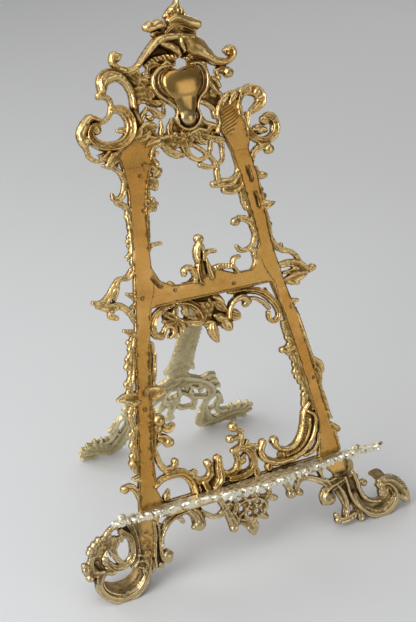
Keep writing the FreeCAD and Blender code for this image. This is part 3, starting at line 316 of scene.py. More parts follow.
def weathered(relief, seed, coarse, fine):
    """Cast unevenness on the ornament, and a slight ripple on the polished flats."""
    loose = 1 - blurred(relief.polish, 1.0)
    shape = relief.top.shape
    uneven = (coarse * lumps(shape, 1.3 / relief.cell, seed)
              + fine * lumps(shape, 0.6 / relief.cell, seed + 1))
    ripple = 0.05 * lumps(shape, 5.0 / relief.cell, seed + 2)
    change = loose * uneven + (1 - loose) * ripple
    relief.top = relief.top + np.where(relief.top > COVERED, change, 0)
    relief.edge = relief.edge + loose * 0.12 * lumps(shape, 1.0 / relief.cell, seed + 3)


def height_contrast(relief, floor=BACK):
    """How far each place stands above or below its surroundings."""
    solid = np.where(relief.edge < 0, np.maximum(relief.top, floor), floor)
    near, wide = (blurred(solid, reach / relief.cell) for reach in (1.6, 4.0))
    return (solid - 0.6 * near - 0.4 * wide) / 2.2


def sampled(field, relief, us, vs):
    """Values of a map at places between its cells."""
    i = np.clip((us - relief.us[0]) / relief.cell, 0, len(relief.us) - 1.001)
    j = np.clip((vs - relief.vs[0]) / relief.cell, 0, len(relief.vs) - 1.001)
    a, b = i.astype(int), j.astype(int)
    s, t = i - a, j - b
    return ((field[a, b] * (1 - s) + field[a + 1, b] * s) * (1 - t)
            + (field[a, b + 1] * (1 - s) + field[a + 1, b + 1] * s) * t)


# ---------------------------------------------------------------- meshes

def front_to_world(points):
    """Places of the front's leaning plane, in metres of the shared frame."""
    u, v, w = points.T
    y = v * math.sin(LEAN) - w * math.cos(LEAN)
    z = v * math.cos(LEAN) + w * math.sin(LEAN)
    return np.stack([u, y, z], 1) * MM + np.array(SHIFT)


def leg_to_world(points):
    """Places of the rear leg's plane, in metres of the shared frame."""
    u, v, w = points.T
    turn = LEAN + LEG_TILT
    up = v - LEG_LENGTH
    front_v = HINGE_V + up * math.cos(turn) - w * math.sin(turn)
    front_w = HINGE_W + up * math.sin(turn) + w * math.cos(turn)
    return front_to_world(np.stack([u, front_v, front_w], 1))


def largest_part(points, faces):
    """Faces of the largest connected part."""
    ends = np.concatenate([np.stack([face, np.roll(face, -1, axis=1)], -1).reshape(-1, 2)
                           for face in faces])
    labels = np.arange(len(points))
    while True:
        lower = labels.copy()
        np.minimum.at(lower, ends[:, 0], labels[ends[:, 1]])
        np.minimum.at(lower, ends[:, 1], labels[ends[:, 0]])
        lower = lower[lower]
        if np.array_equal(lower, labels):
            break
        labels = lower
    main = np.bincount(labels).argmax()
    return [face[labels[face[:, 0]] == main] for face in faces]


def volume(points, faces):
    """Signed volume that closed faces hold."""
    total = 0.0
    for face in faces:
        for step in range(1, face.shape[1] - 1):
            a, b, c = points[face[:, 0]], points[face[:, step]], points[face[:, step + 1]]
            total += np.einsum("ij,ij->i", a, np.cross(b, c)).sum() / 6
    return total


def isosurface(field, low, cell):
    """Closed surface where a field is zero: places in millimetres, and faces that turn outwards."""
    grid = vdb.FloatGrid()
    grid.background = FAR
    grid.copyFromArray(np.ascontiguousarray(field, np.float32))
    points, triangles, quads = grid.convertToPolygons(isovalue=0.0, adaptivity=MERGE)
    places = np.array(low) + np.asarray(points, float) * cell
    faces = [np.asarray(face, int) for face in (triangles, quads) if len(face)]
    faces = largest_part(places, faces)
    if volume(places, faces) < 0:
        faces = [face[:, ::-1] for face in faces]
    return places, faces


def mesh_piece(name, places, faces, world, attributes):
    """Smooth-shaded object from places, faces and per-place attributes."""
    used = np.unique(np.concatenate([face.ravel() for face in faces]))
    number = np.full(len(places), -1)
    number[used] = np.arange(len(used))
    mesh = bpy.data.meshes.new(name)
    mesh.vertices.add(len(used))
    mesh.vertices.foreach_set("co", world[used].astype(np.float32).ravel())
    corners = np.concatenate([number[face].ravel() for face in faces])
    sizes = np.concatenate([np.full(len(face), face.shape[1]) for face in faces])
    mesh.loops.add(len(corners))
    mesh.loops.foreach_set("vertex_index", corners.astype(np.int32))
    mesh.polygons.add(len(sizes))
    mesh.polygons.foreach_set("loop_start",
                              np.concatenate([[0], np.cumsum(sizes)[:-1]]).astype(np.int32))
    mesh.polygons.foreach_set("use_smooth", np.ones(len(sizes), bool))
    for label, values in attributes.items():
        layer = mesh.attributes.new(label, "FLOAT", "POINT")
        layer.data.foreach_set("value", values[used].astype(np.float32))
    mesh.update(calc_edges=True)
    mesh.validate()
    piece = bpy.data.objects.new(name, mesh)
    bpy.context.scene.collection.objects.link(piece)
    return piece


# ---------------------------------------------------------------- ornament

# Open-work of the crest: crown hood, finial, scrolls, shoulders and hanging tendrils.
CREST = {
    "grounds": [
        ([(-43, 411), (-31, 415), (-29, 406), (-23, 405), (-23, 414), (-12, 418), (-4, 412),
          (-12, 408), (-18, 398), (-16, 388), (-10, 384), (-14, 381), (-20, 381), (-28, 384),
          (-31, 388), (-35, 384), (-36, 376), (-40, 366), (-47, 360), (-47, 372), (-44, 380),
          (-41, 386), (-39, 395), (-42, 402), (-36, 402), (-38, 406)], 0.6),
        ([(-38, 372), (-33, 371), (-29, 371.5), (-24, 367), (-25, 362), (-22, 359.5), (-14, 361),
          (-12, 367), (-7, 372), (-4, 362), (-4, 350), (-12, 348), (-30, 353), (-34, 357),
          (-44, 357), (-42, 366)], 0.4),
        ([(-4, 362), (10, 360), (16, 364), (22, 362), (29, 361), (31, 350), (24, 352), (14, 353),
          (6, 346), (-5, 348)], 0.4),
        ([(22, 414), (28, 414), (26, 404), (31, 398), (35, 395), (36, 386), (40, 380), (30, 372),
          (27, 377), (20, 380), (12, 384), (24, 392), (26, 402)], 0.6),
        ([(-28, 417), (-14, 429), (0, 434), (18, 432), (30, 420), (34, 412), (28, 414), (16, 412),
          (12, 409), (10.5, 415), (7, 417.5), (3, 416), (2, 411), (-8, 411), (-22, 412),
          (-24, 416)], -0.6),
        ([(-12, 434), (-4, 439), (2, 442), (2, 450), (8, 456), (13, 450), (22, 444), (20, 434),
          (8, 431)], 0.8),
        ([(36, 406), (42, 408), (49, 403), (44, 399), (38, 401)], 0.8),
        ([(-76, 352), (-70, 345), (-60, 340), (-58, 358), (-68, 354)], 0.8),
        ([(54, 382), (62, 387), (70, 385), (73, 378), (66, 378), (60, 381), (55, 378)], 1.0),
    ],
    "strokes": [
        # left shoulder curls
        [(-78, 367, 5), (-77, 372, 5), (-73, 373, 4)],
        [(-68, 343, 6), (-62, 348, 10)],
        [(-84, 358, 4), (-82, 351, 3.5), (-76, 347, 3), (-70, 349, 5), (-62, 354, 7)],
        [(-43, 410, 5), (-35, 403, 5), (-30, 399, 5)],
        [(-48, 366, 4), (-53, 368, 5), (-56, 368, 2.5)],
        # rocaille column between the left scrolls and the cartouche
        [(-41, 398, 2), (-37, 396.5, 5), (-31, 396.5, 6), (-27, 399, 3)],
        [(-41, 393, 2), (-36, 391.5, 5), (-30, 391.5, 5), (-27, 389, 2.5)],
        [(-41.5, 388, 2), (-37, 387, 4), (-33, 388, 4), (-30, 386.5, 2)],
        [(-28, 396, 2.5), (-24, 397, 3.5), (-21.5, 393.5, 3.5), (-23, 389.5, 3), (-27, 390, 2)],
        [(-24, 386.5, 2.5), (-20, 384.5, 5), (-15.5, 385.5, 4), (-12, 384, 2)],
        [(-38, 403, 2), (-33, 402, 5), (-28, 402.5, 5), (-23, 400.5, 3)],
        [(-32, 406.5, 2), (-28, 405, 4), (-24, 405.5, 4), (-20, 403, 2)],
        [(-37, 409, 4), (-34, 411, 5), (-31, 407, 3.5), (-30, 403, 2)],
        [(-23, 409, 2), (-21.5, 413, 5), (-16, 414, 4), (-11, 412, 2)],
        # two upright petals, a curled ribbon and the leaf below them
        [(-36.5, 371, 2), (-38, 377, 4.6), (-41, 384, 2)],
        [(-36, 371, 2), (-33.5, 376, 4.6), (-29, 381.5, 3)],
        [(-29, 381.5, 3), (-24.5, 380, 4.4), (-21, 376, 5.4), (-17.5, 374, 4.6), (-15, 377.5, 3.4),
         (-14.5, 380.5, 2)],
        [(-30, 375.5, 2), (-27, 373.5, 4.6), (-24, 374.5, 2)],
        [(-37, 364.5, 3), (-32.5, 367.5, 9), (-28, 367, 8), (-24, 366.5, 2.5)],
        [(-32, 361, 3), (-28, 361.5, 4.6), (-24.5, 358.5, 4.6), (-22, 357, 2)],
        [(-21, 360, 4), (-19.5, 365, 3.6), (-19, 370, 1.6)],
        [(-44, 357, 5), (-36, 359, 7), (-28, 356.5, 7), (-20, 355, 8), (-12, 356, 6), (-5, 353, 6)],
        [(4, 356, 5), (12, 358.5, 5), (19, 356.5, 5), (24, 360, 4.5), (30, 357.5, 5)],
        [(-13, 358, 5), (-13, 364, 4.4), (-9.5, 370, 3)],
        [(-6, 357, 4), (2, 356, 5), (8, 352, 5)],
        # right arm scrolls
        [(26, 410, 4), (26, 401, 4), (30, 391, 4.5), (36, 384, 4)],
        [(31, 398, 3.5), (34, 396, 4), (36, 391, 4)],
        [(36, 403, 4), (41, 404, 5), (46, 401, 6)],
        [(36, 402, 3.5), (37, 397, 3.5)],
        [(40, 382, 4), (45, 384, 4), (52, 384, 5)],
        # right curls
        [(60, 350, 5), (66, 352, 6), (71, 350, 4)],
        [(12, 382, 4), (20, 380, 4), (27, 374, 4), (28, 367, 3.5)],
        [(12, 380, 3.5), (14, 372, 4), (19, 364, 4), (26, 361, 4)],
        # arch and tendrils under the crest
        [(-33, 350, 4), (-27, 353, 5), (-20, 352, 5), (-13, 349, 5), (-6, 351, 6)],
        [(-32, 345, 5), (-27, 346, 4)],
        [(-20, 351, 5), (-15, 345, 6), (-9, 342, 6), (-5, 341, 4)],
        [(-4, 352, 8), (-2, 345, 6), (1, 340, 4), (6, 336, 3.5), (13, 336, 3.5), (19, 341, 3.5),
         (21, 348, 3.5), (24, 354, 4)],
        [(2, 350, 4), (8, 346, 3.5), (14, 341, 3.5), (20, 334, 3.5), (23, 328, 3.5), (22, 320, 4)],
        [(9, 331, 4.5), (15, 328.5, 4), (22, 328.5, 3.5), (28, 332, 3.5), (30, 340, 3.5),
         (30, 348, 5)],
        [(14, 354, 4), (22, 351, 5), (30, 348, 6)],
        [(10, 357, 5), (12, 350, 5), (16, 348, 4)],
        # garland at the top of the left stile
        [(-40, 337, 6), (-34, 335, 6), (-29, 331, 5), (-26, 333, 3)],
        [(-34, 344, 6), (-30, 338, 7)],
        # base of the finial
        [(-13, 437, 4), (-5, 436.5, 5), (5, 438, 5), (14, 437, 6), (21, 435.5, 5)],
        [(-5, 440, 4), (-8, 443, 4)],
    ],
    "sections": [
        # left volute, its flange and the bulb scroll
        (channel, 4.6, [(-58, 385, 5), (-50, 383, 8), (-45, 375, 9), (-46, 365, 9), (-54, 358, 8.5),
                        (-65, 357, 8), (-75, 361, 8), (-79, 368, 7), (-76, 374, 5), (-71, 374, 4)]),
        (dome, 4.2, [(-70, 378, 4), (-76, 381, 5), (-82, 376, 7.5), (-86, 368, 8), (-84, 361, 6)]),
        (reed, 2.4, [(-73, 379, 4), (-68, 376, 4), (-62, 379, 4), (-58, 386, 4), (-59, 393, 4.5),
                     (-66, 396, 5)]),
        (dome, 5.0, [(-63, 400, 7), (-61.5, 406, 10), (-55, 409.5, 10.5), (-48, 408.5, 8),
                     (-43, 403, 6), (-40, 394, 5), (-40, 384, 5)]),
        (twin, 5.4, [(-64, 402, 4), (-64, 408, 4.5), (-58, 413, 5), (-50, 412, 5), (-44, 407, 4)]),
        (dome, 3.4, [(-42, 413, 6), (-48, 416, 5.5), (-51, 421, 5), (-49, 426, 4.5),
                     (-44.5, 424.5, 4.5)]),
        (reed, 3.0, [(-52, 413, 5), (-42, 411, 7), (-33, 413, 6), (-28, 417, 4)]),
        # hood of the crown: a bright ridge over a hollow on the left, a full round on the right
        (dome, 6.2, [(-31, 415, 3.5), (-24, 421.5, 5.5), (-17, 427.5, 7), (-10, 432, 8),
                     (-2, 433.5, 8), (8, 433, 8), (18, 431, 8)]),
        (dome, 4.6, [(-10, 430, 5), (-3, 427.5, 7), (3, 423.5, 7), (5.5, 419, 3)]),
        (dome, 6.4, [(14, 429, 13), (18, 426, 17), (24, 421.5, 14), (30, 415.5, 9), (35, 410.5, 6),
                     (42, 408.5, 5), (49, 410.5, 5), (52.5, 415.5, 5), (50.5, 420, 4.5),
                     (46.5, 418, 4)]),
        (dome, 6.2, [(7.5, 431, 5), (8, 427, 6), (9.5, 421.5, 3)]),
        (dome, 4.6, [(26, 428, 2.5), (31, 420, 3), (36, 413.5, 2.5), (43, 411.2, 2)]),
        (rope, 2.6, [(-24, 415, 4), (-17, 417.5, 5), (-8, 418.5, 5.5), (1, 418, 5)]),
        (rope, 2.4, [(12, 416, 4), (18, 418, 6), (25, 416, 5)]),
        (dome, 2.6, [(-3, 411.5, 4), (-6, 414.5, 4), (-10, 413, 3)]),
        # finial
        (dome, 4.2, [(7, 434, 17), (7, 441, 15), (7.5, 448, 13)]),
        (reed, 5.0, [(-3, 437, 5), (4, 441, 7), (12, 440, 8), (20, 436, 6)]),
        (dome, 5.0, [(1, 446, 5), (7, 447.5, 7), (13, 445, 6)]),
        (dome, 5.0, [(11, 446.5, 8), (18, 443.5, 9.5), (24.5, 441, 8.5)]),
        (rope, 4.6, [(0, 450, 5), (5, 453, 7), (12, 452.5, 7), (15, 449, 4)]),
        (dome, 3.8, [(7, 453, 10), (9.5, 457, 6), (10.5, 461, 2.5)]),
        (dome, 3.8, [(-18, 443, 6), (-13, 442.5, 7), (-8, 444, 8), (-4.5, 443, 4)]),
        # right bulb scroll and large volute
        (channel, 4.2, [(50, 366, 4), (51, 376, 5), (56, 383, 7), (63, 384.5, 9), (70, 381, 10),
                        (71, 374, 9), (65, 369, 7), (59, 366, 4)]),
        (channel, 4.2, [(57, 366, 4), (54, 358, 5.5), (56, 350, 6), (62, 344, 6), (70, 342, 7),
                        (78.5, 346, 8), (81, 354, 8), (77, 361, 8), (71, 360, 5)]),
        (dome, 3.2, [(60, 352, 4), (65, 353, 6.5), (71, 351, 4)]),
    ],
    "beads": [
        (-66, 396, 3), (-46.5, 423, 3.2), (49, 417, 3.6), (46, 400.5, 4.5), (-15, 443.5, 4.2),
        (-7.5, 444, 4.4), (24.5, 441, 3.6), (10, 455.5, 3.2), (72, 358, 4), (66, 351, 4),
        (72, 376, 4), (69, 382, 4.5), (62, 385.5, 4), (54, 384.5, 3), (-73, 371, 4), (-84, 364, 5),
        (-77, 380, 3.5),
    ],
    "flowers": [
        (-35, 393, 5, 5), (-26, 392, 5, 5), (-34, 404, 4, 5), (-25, 407, 3.5, 5), (0, 353, 7, 6),
        (-10, 354, 6, 5), (-30, 331, 4.5, 5), (22, 419, 3.5, 5), (-33, 366, 5, 5),
        (30, 386, 3.5, 5),
    ],
    "holes": [(7, 413, 4.4, 3.5, 0.0)],
}

# Hook, leaf tips, side scroll, beads and garland of the left stile.
LEFT_STILE = {
    "strokes": [
        [(-72, 343, 3), (-64, 340, 4), (-58.5, 332, 4), (-59, 323, 4), (-64, 316, 5), (-69, 317, 4),
         (-69.5, 320, 2.5)],
        [(-66, 313, 5), (-60, 308, 5), (-58, 300, 4)],
        [(-60, 304, 4), (-60, 290, 4), (-61, 276, 4), (-63, 264, 4)],
        [(-62, 272, 4), (-67, 270, 2)],
        # side scroll at the crossrail
        [(-64, 259, 5), (-69, 254, 5), (-76, 254, 4), (-82, 248, 5), (-87, 242, 6), (-94, 238, 6),
         (-100, 240, 4)],
        [(-78, 251, 4), (-80, 245, 4), (-83, 240, 4)],
        [(-96, 237, 6), (-88, 234, 8), (-79, 233, 6), (-72, 226, 5), (-69, 218, 4)],
        [(-86, 232, 5), (-88, 227, 5), (-84, 224.5, 4.5)],
        [(-66, 238, 6), (-71, 241, 3)],
        [(-66, 231, 5), (-70, 230, 3)],
        # outer edge below the crossrail
        [(-73, 210, 6), (-79, 213, 3)],
        [(-73, 207, 5), (-76, 200, 5), (-77, 190, 5), (-79, 180, 5), (-82, 170, 5), (-84, 163, 5)],
        [(-82, 158, 13), (-88, 160, 8), (-94, 160, 3)],
        [(-84, 150, 7), (-86, 144, 6), (-86, 136, 5)],
        [(-85, 136, 5), (-88, 124, 5), (-89, 112, 5), (-90, 100, 4)],
        [(-90, 106, 4), (-92, 107, 5)],
        [(-91, 76, 4), (-93, 84, 5), (-97, 89, 6), (-102, 88, 5)],
        [(-90, 94, 5), (-93, 94, 3)],
        # inner edge
        [(-40, 327, 4), (-34, 325, 7), (-33, 319, 4)],
        [(-40.5, 321.5, 5), (-41, 314, 5)],
        [(-44, 304, 5), (-45, 292, 4), (-47, 280, 4)],
        [(-49, 272, 5), (-44, 275.5, 3.5), (-37, 275.5, 3.5)],
        [(-60, 198, 6), (-58, 190, 4), (-59.5, 182, 4), (-62, 172, 5), (-65, 164, 5)],
        [(-67, 159, 14), (-61, 159, 11), (-57, 160, 6)],
        [(-68, 148, 4), (-68, 136, 6), (-71, 124, 5), (-73, 112, 5)],
        [(-62, 131, 6), (-57, 127, 7), (-53, 129, 5)],
        [(-66, 122, 6), (-61, 119, 8), (-60, 115, 6)],
        [(-72, 116, 4), (-66, 118, 3)],
    ],
    "beads": [
        (-64, 136, 5.5), (-66, 130, 4), (-58, 116, 4), (-92, 107, 3), (-102, 88, 3.5),
    ],
    "flowers": [
        (-39.5, 307, 6.5, 6), (-67, 129, 5, 5), (-36, 323, 5, 5),
    ],
}

# Scrolls, shell leaf, gadroons, buds and side leaf of the right stile.
RIGHT_STILE = {
    "strokes": [
        [(54, 326, 4), (58, 334, 5), (64, 337.5, 6), (70, 337, 6), (73, 334, 6)],
        [(57, 321, 4), (58, 315, 5), (64, 314, 5)],
        [(56, 312, 4), (57, 303, 5), (58, 292, 5), (60, 280, 4), (61, 264, 4)],
        [(60, 290, 9), (64, 290, 6), (69, 290.5, 2.5)],
        # side leaf at the crossrail
        [(61, 262, 4), (65, 254, 5), (71, 250, 5), (78, 247, 4), (83, 241, 4), (84, 236, 4)],
        [(69, 251, 4), (70, 255, 2.5)],
        [(66, 238, 5), (76, 238, 7), (84, 234, 9), (91, 229, 6), (96, 230, 5)],
        [(67, 224, 5), (74, 225, 8), (82, 226, 9), (88, 227, 5)],
        [(70, 223, 4), (76, 221, 4), (80, 220, 3)],
        [(68, 231, 3), (74, 231, 4), (80, 231, 7)],
        # outer edge below the crossrail
        [(70, 202, 6), (73, 206, 5), (76, 206, 4)],
        [(73, 199, 4), (76, 187, 4), (78, 175, 4), (81, 160, 4), (83, 150, 4)],
        [(84, 152, 6), (87, 147, 9), (89, 142, 6)],
        [(84, 144, 6), (86, 138, 6), (85, 130, 5), (87, 118, 5), (89, 106, 5)],
        [(88, 104, 6), (92, 99, 3)],
        [(91, 92, 6), (95, 88, 7), (98, 87, 3)],
        [(92, 86, 5), (94, 76, 4), (95, 70, 3)],
        # inner scrolls and shell
        [(31, 281, 6), (37, 283, 5.5), (43, 280, 5), (46, 273, 4), (46, 264, 4), (43, 259, 4),
         (37, 256.5, 4), (32, 257, 4), (29.5, 261, 3)],
        [(42, 256, 5), (48, 252, 5)],
        [(42, 326, 4), (40, 319, 5), (34, 314, 7), (26, 314, 8), (18, 314, 6)],
        [(40, 309, 6), (34, 307, 8), (27, 308, 7)],
        [(41, 318, 5), (41, 304, 5), (43, 292, 5)],
        [(22, 324, 4), (22, 316, 5)],
        # gadrooned inner edge
        [(60, 190, 4), (62, 180, 5), (65, 168, 6), (68, 150, 6), (71, 132, 6), (74, 112, 5)],
        [(64, 168, 7), (59, 167, 6), (55.5, 167, 4)],
        [(66, 160, 6), (66, 150, 5), (68, 138, 5)],
        [(70, 124, 5), (68, 116, 5)],
    ],
    "beads": [
        (72, 334.5, 4.3), (62, 314.5, 3.4), (96, 230.5, 3), (56, 167, 3), (31.5, 281, 3.6),
    ],
}

# Little figure and curl above the crossrail, scrolls and bouquet below it.
CROSSRAIL = {
    "grounds": [
        ([(-45, 222), (-38, 223.5), (-33, 221), (-33, 212.5), (-28, 212), (-25, 218), (-22, 221),
          (-23, 206), (-33, 200), (-38, 204), (-44, 210), (-46, 217)], 0.2),
        ([(-20, 226), (-4, 226), (7, 225), (9, 214), (12, 207), (20, 207), (16, 201), (9, 197),
          (0, 200), (-8, 198), (-13, 205), (-24, 205), (-22, 209), (-13, 213)], 0.5),
        ([(18, 227), (34, 226), (50, 222), (54, 212), (50, 212), (42, 217.5), (34, 220), (20, 221)],
         0.4),
        ([(-10, 240), (-10, 250), (-8, 257), (-4, 259), (0, 258), (3, 250), (8, 246), (8, 240)],
         0.8),
        ([(-20, 240), (-11, 240), (-11, 246), (-16, 243)], 0.4),
    ],
    "strokes": [
        # leaves of the left flower group
        [(-35, 213, 3), (-40, 217.5, 6), (-45, 221, 2)],
        [(-35, 214, 3), (-34.5, 219, 6), (-32, 224, 2)],
        [(-35, 213, 3), (-40.5, 211.5, 5.5), (-45.5, 213, 2)],
        [(-35, 212, 3), (-38, 206, 6), (-37, 198.5, 2)],
        [(-34, 212, 3), (-31, 206, 6.5), (-32, 199.5, 2)],
        [(-33, 213, 3), (-29, 210.5, 4), (-25, 209, 2)],
        [(-28, 225, 2), (-25, 220, 4.5), (-24, 215, 2.5)],
        [(-26, 209, 3), (-21, 207, 5.5), (-15, 206, 5), (-10, 207, 3)],
        [(-23, 212, 2), (-18, 210.5, 4), (-14, 209, 2)],
        # leaves of the bouquet
        [(-14, 222, 2), (-10, 220, 5), (-6, 221, 2)],
        [(-3, 224, 2), (-2, 218, 4.5), (-2.5, 212, 2)],
        [(-13, 213, 2), (-10, 209, 5), (-5, 208, 3)],
        [(-10, 204, 2), (-6, 203.5, 6), (-1, 202, 3)],
        [(14, 211, 2), (18, 208.5, 4.5), (21.5, 206, 2.5)],
        # right of the rail
        [(41, 240, 3), (44, 246, 4), (43, 252, 3)],
        [(-37, 240, 3), (-34, 242.5, 4), (-31, 240, 2)],
    ],
    "sections": [
        # small standing bud figure: two panels, a slim body and a round top
        (channel, 3.8, [(-6.5, 240, 8.5), (-7, 248, 8.5), (-6, 255, 5)]),
        (dome, 3.4, [(2.0, 241, 6.5), (0.8, 248, 5.5), (-0.6, 256, 3)]),
        (dome, 4.6, [(-8, 255, 3.5), (-7.5, 260, 5.5), (-6.5, 265, 6), (-4.5, 269.5, 4)]),
        (dome, 4.0, [(-3, 256, 3.5), (-2, 262, 4.5), (-3, 268, 4.5)]),
        (dome, 3.6, [(-2, 258, 3), (3, 261.5, 3.8), (8, 261, 3.6)]),
        (dome, 3.8, [(-12.5, 240, 5), (-12.5, 247, 5), (-15.5, 251.8, 5), (-20.5, 250.8, 4.5),
                     (-21.5, 246.5, 3)]),
        (ribs, 2.6, [(3, 246.5, 5), (12, 247.5, 5), (21, 246, 4.5)]),
        (dome, 2.8, [(29, 252.5, 3.4), (24.5, 251.5, 3.4), (22.8, 246, 3.2), (26, 240.5, 3)]),
        # scrolls under the rail
        (channel, 3.8, [(-36, 225.5, 4), (-46, 223, 6), (-53, 218, 6.5), (-56, 210, 6.5),
                        (-54, 204, 6), (-49, 201.5, 4.5), (-46, 205, 3)]),
        (dome, 3.2, [(-47, 205, 3.6), (-43, 208.8, 4), (-39, 207.5, 4), (-38.5, 203, 4),
                     (-42, 200, 3.4)]),
        (twin, 4.0, [(-32, 226, 5), (-21, 223, 6), (-14.5, 217, 6.5), (-11.5, 209.5, 6)]),
        (twin, 3.8, [(16, 225, 4), (34, 223.5, 5), (45, 219, 6), (52.5, 211.5, 6.5), (57, 203, 5.5),
                     (56.5, 196, 4.5), (52, 193, 4), (48.5, 196, 4), (48, 201, 3.4)]),
        (dome, 2.8, [(31, 216.5, 3.4), (38, 215.5, 3.4), (44, 211.5, 3.6), (49, 205, 3.6)]),
        (dome, 3.6, [(11.5, 205, 4), (13.5, 211.5, 4.6), (19, 217.5, 5.4), (27, 218.8, 6.4),
                     (31, 214.5, 6.4)]),
        (reed, 3.0, [(0, 220, 3), (5, 216, 9), (9.5, 211, 4)]),
        (dome, 3.2, [(-1, 209, 4), (4, 206.5, 8.5), (8.5, 205.5, 4)]),
        (dome, 2.6, [(1, 224, 3), (5, 222, 6), (8.5, 218.5, 3)]),
        (reed, 3.4, [(-4, 203, 6), (-4, 196.5, 9.5), (-2.6, 191.5, 6.5), (-1.6, 187, 2)]),
        (dome, 3.0, [(6, 203, 6), (9, 199.8, 10), (11, 196.5, 6)]),
        (reed, 3.0, [(11, 207.5, 5), (16.5, 204.8, 8), (20.5, 203.8, 5)]),
    ],
    "beads": [
        (-3.3, 273, 4), (-20.5, 248, 2.4), (8, 261.2, 2.2), (-50, 203, 2.4), (-40.5, 201, 2.2),
        (29, 212.5, 3),
    ],
    "flowers": [(-7.5, 215, 6.5, 6), (-35.5, 212.5, 4.5, 5), (-26, 217, 3, 5)],
    "holes": [(-30, 215.5, 2.0, 2.0, 0.0), (-41, 222.3, 1.5, 0.7, 0.1),
              (46.5, 222.2, 1.8, 0.7, -0.4)],
}

# Scrolls that stand on the shelf line between the stiles.
LOWER_RAIL = {
    "grounds": [
        ([(36, 74), (52, 75), (64, 80), (72, 90), (75, 100), (72, 112), (66, 110), (62, 98),
          (56, 88), (46, 84)], 0.6),
        ([(-78, 64), (78, 64), (78, 69.4), (-78, 69.4)], 1.2),
        ([(-50, 88), (-42, 82), (-36, 78), (-28, 79), (-20, 76), (-20, 70), (-46, 70), (-48, 80)],
         0.2),
        ([(-12, 76), (10, 76), (12, 70), (-16, 70)], 0.4),
    ],
    "strokes": [
        [(-73, 117, 4), (-71, 108, 5), (-69, 100, 5), (-64, 94, 6.5), (-58, 94, 6.5),
         (-55.5, 99, 4.5)],
        [(-46, 85, 5), (-41, 86, 4.5)],
        [(-69, 72, 6), (-66, 77, 3)],
        [(-43, 81, 6), (-35, 77, 6), (-29, 79, 6), (-27, 84, 5.5), (-28, 89, 6)],
        [(-32, 69, 6), (-34, 75, 6)],
        [(-18, 80, 6), (-11, 76, 6), (-4, 78, 6), (-1, 84, 5), (-2, 92, 4.5)],
        [(-2, 78, 5), (0, 84, 4), (5, 88, 4)],
        [(3, 94, 5), (5, 101, 4.5), (5, 108, 4), (0, 113, 4.5)],
        [(4, 104, 4), (-4, 104.5, 4.5)],
        [(5, 103, 4), (7, 109, 3)],
        [(8, 94, 5), (10, 99, 3.5)],
        [(8, 94, 5), (14, 93, 5), (18, 92, 3.5)],
        [(14, 70, 7), (13, 76, 4)],
        [(26, 72, 7), (28, 78, 4)],
        [(62, 73, 4), (70, 75, 3.8), (75.5, 81, 3.8), (77, 88, 4)],
    ],
    "sections": [
        (twin, 3.6, [(-77, 84, 6), (-70, 87.5, 5.5), (-61, 89, 6.5), (-52, 88, 8), (-46, 83, 8.5),
                     (-43, 76, 8.5), (-42, 68, 8)]),
        (reed, 4.4, [(-26, 69, 6), (-20, 74, 9), (-19.5, 82, 8.5), (-19, 91, 7)]),
        (channel, 3.8, [(-10, 72, 6), (2, 71.5, 7), (11.5, 76, 7), (13, 85, 7), (9, 92, 7),
                        (2, 95, 6.5), (-4, 94, 5)]),
        (ribs, 2.2, [(40, 79, 8), (50, 80, 9), (58, 85, 10), (64, 92, 11), (68, 101, 10),
                     (70, 109, 6)]),
        (dome, 4.0, [(24, 94, 6.5), (20.5, 87, 6.5), (23, 81, 6.5), (30, 75.5, 6.5),
                     (40, 73.5, 6.5), (52, 74.5, 6), (63, 79.5, 5.5), (71, 88, 5), (75, 98, 4.5),
                     (75, 106, 4), (70, 110, 4)]),
        (dome, 3.0, [(44, 77.5, 2.5), (54, 79.5, 3), (62, 84.5, 3.2), (68, 93, 3),
                     (70.5, 103, 2.5)]),
        (dome, 3.4, [(34, 92, 6), (37, 86.5, 5), (42, 83.5, 4.5), (50, 83, 4.5), (56, 86.5, 4),
                     (60, 92, 4), (63, 100, 3.6), (66, 110, 3.5), (72, 117, 4)]),
    ],
    "beads": [
        (-56, 99, 3), (-28, 90, 3.6), (-18.5, 91.5, 3.6), (-0.5, 114, 4.2), (-4.5, 104.5, 3.6),
        (24, 94.5, 3.2), (35, 93, 4), (3, 84, 3.4), (-41, 86, 2.6), (18, 92, 2.4),
    ],
}

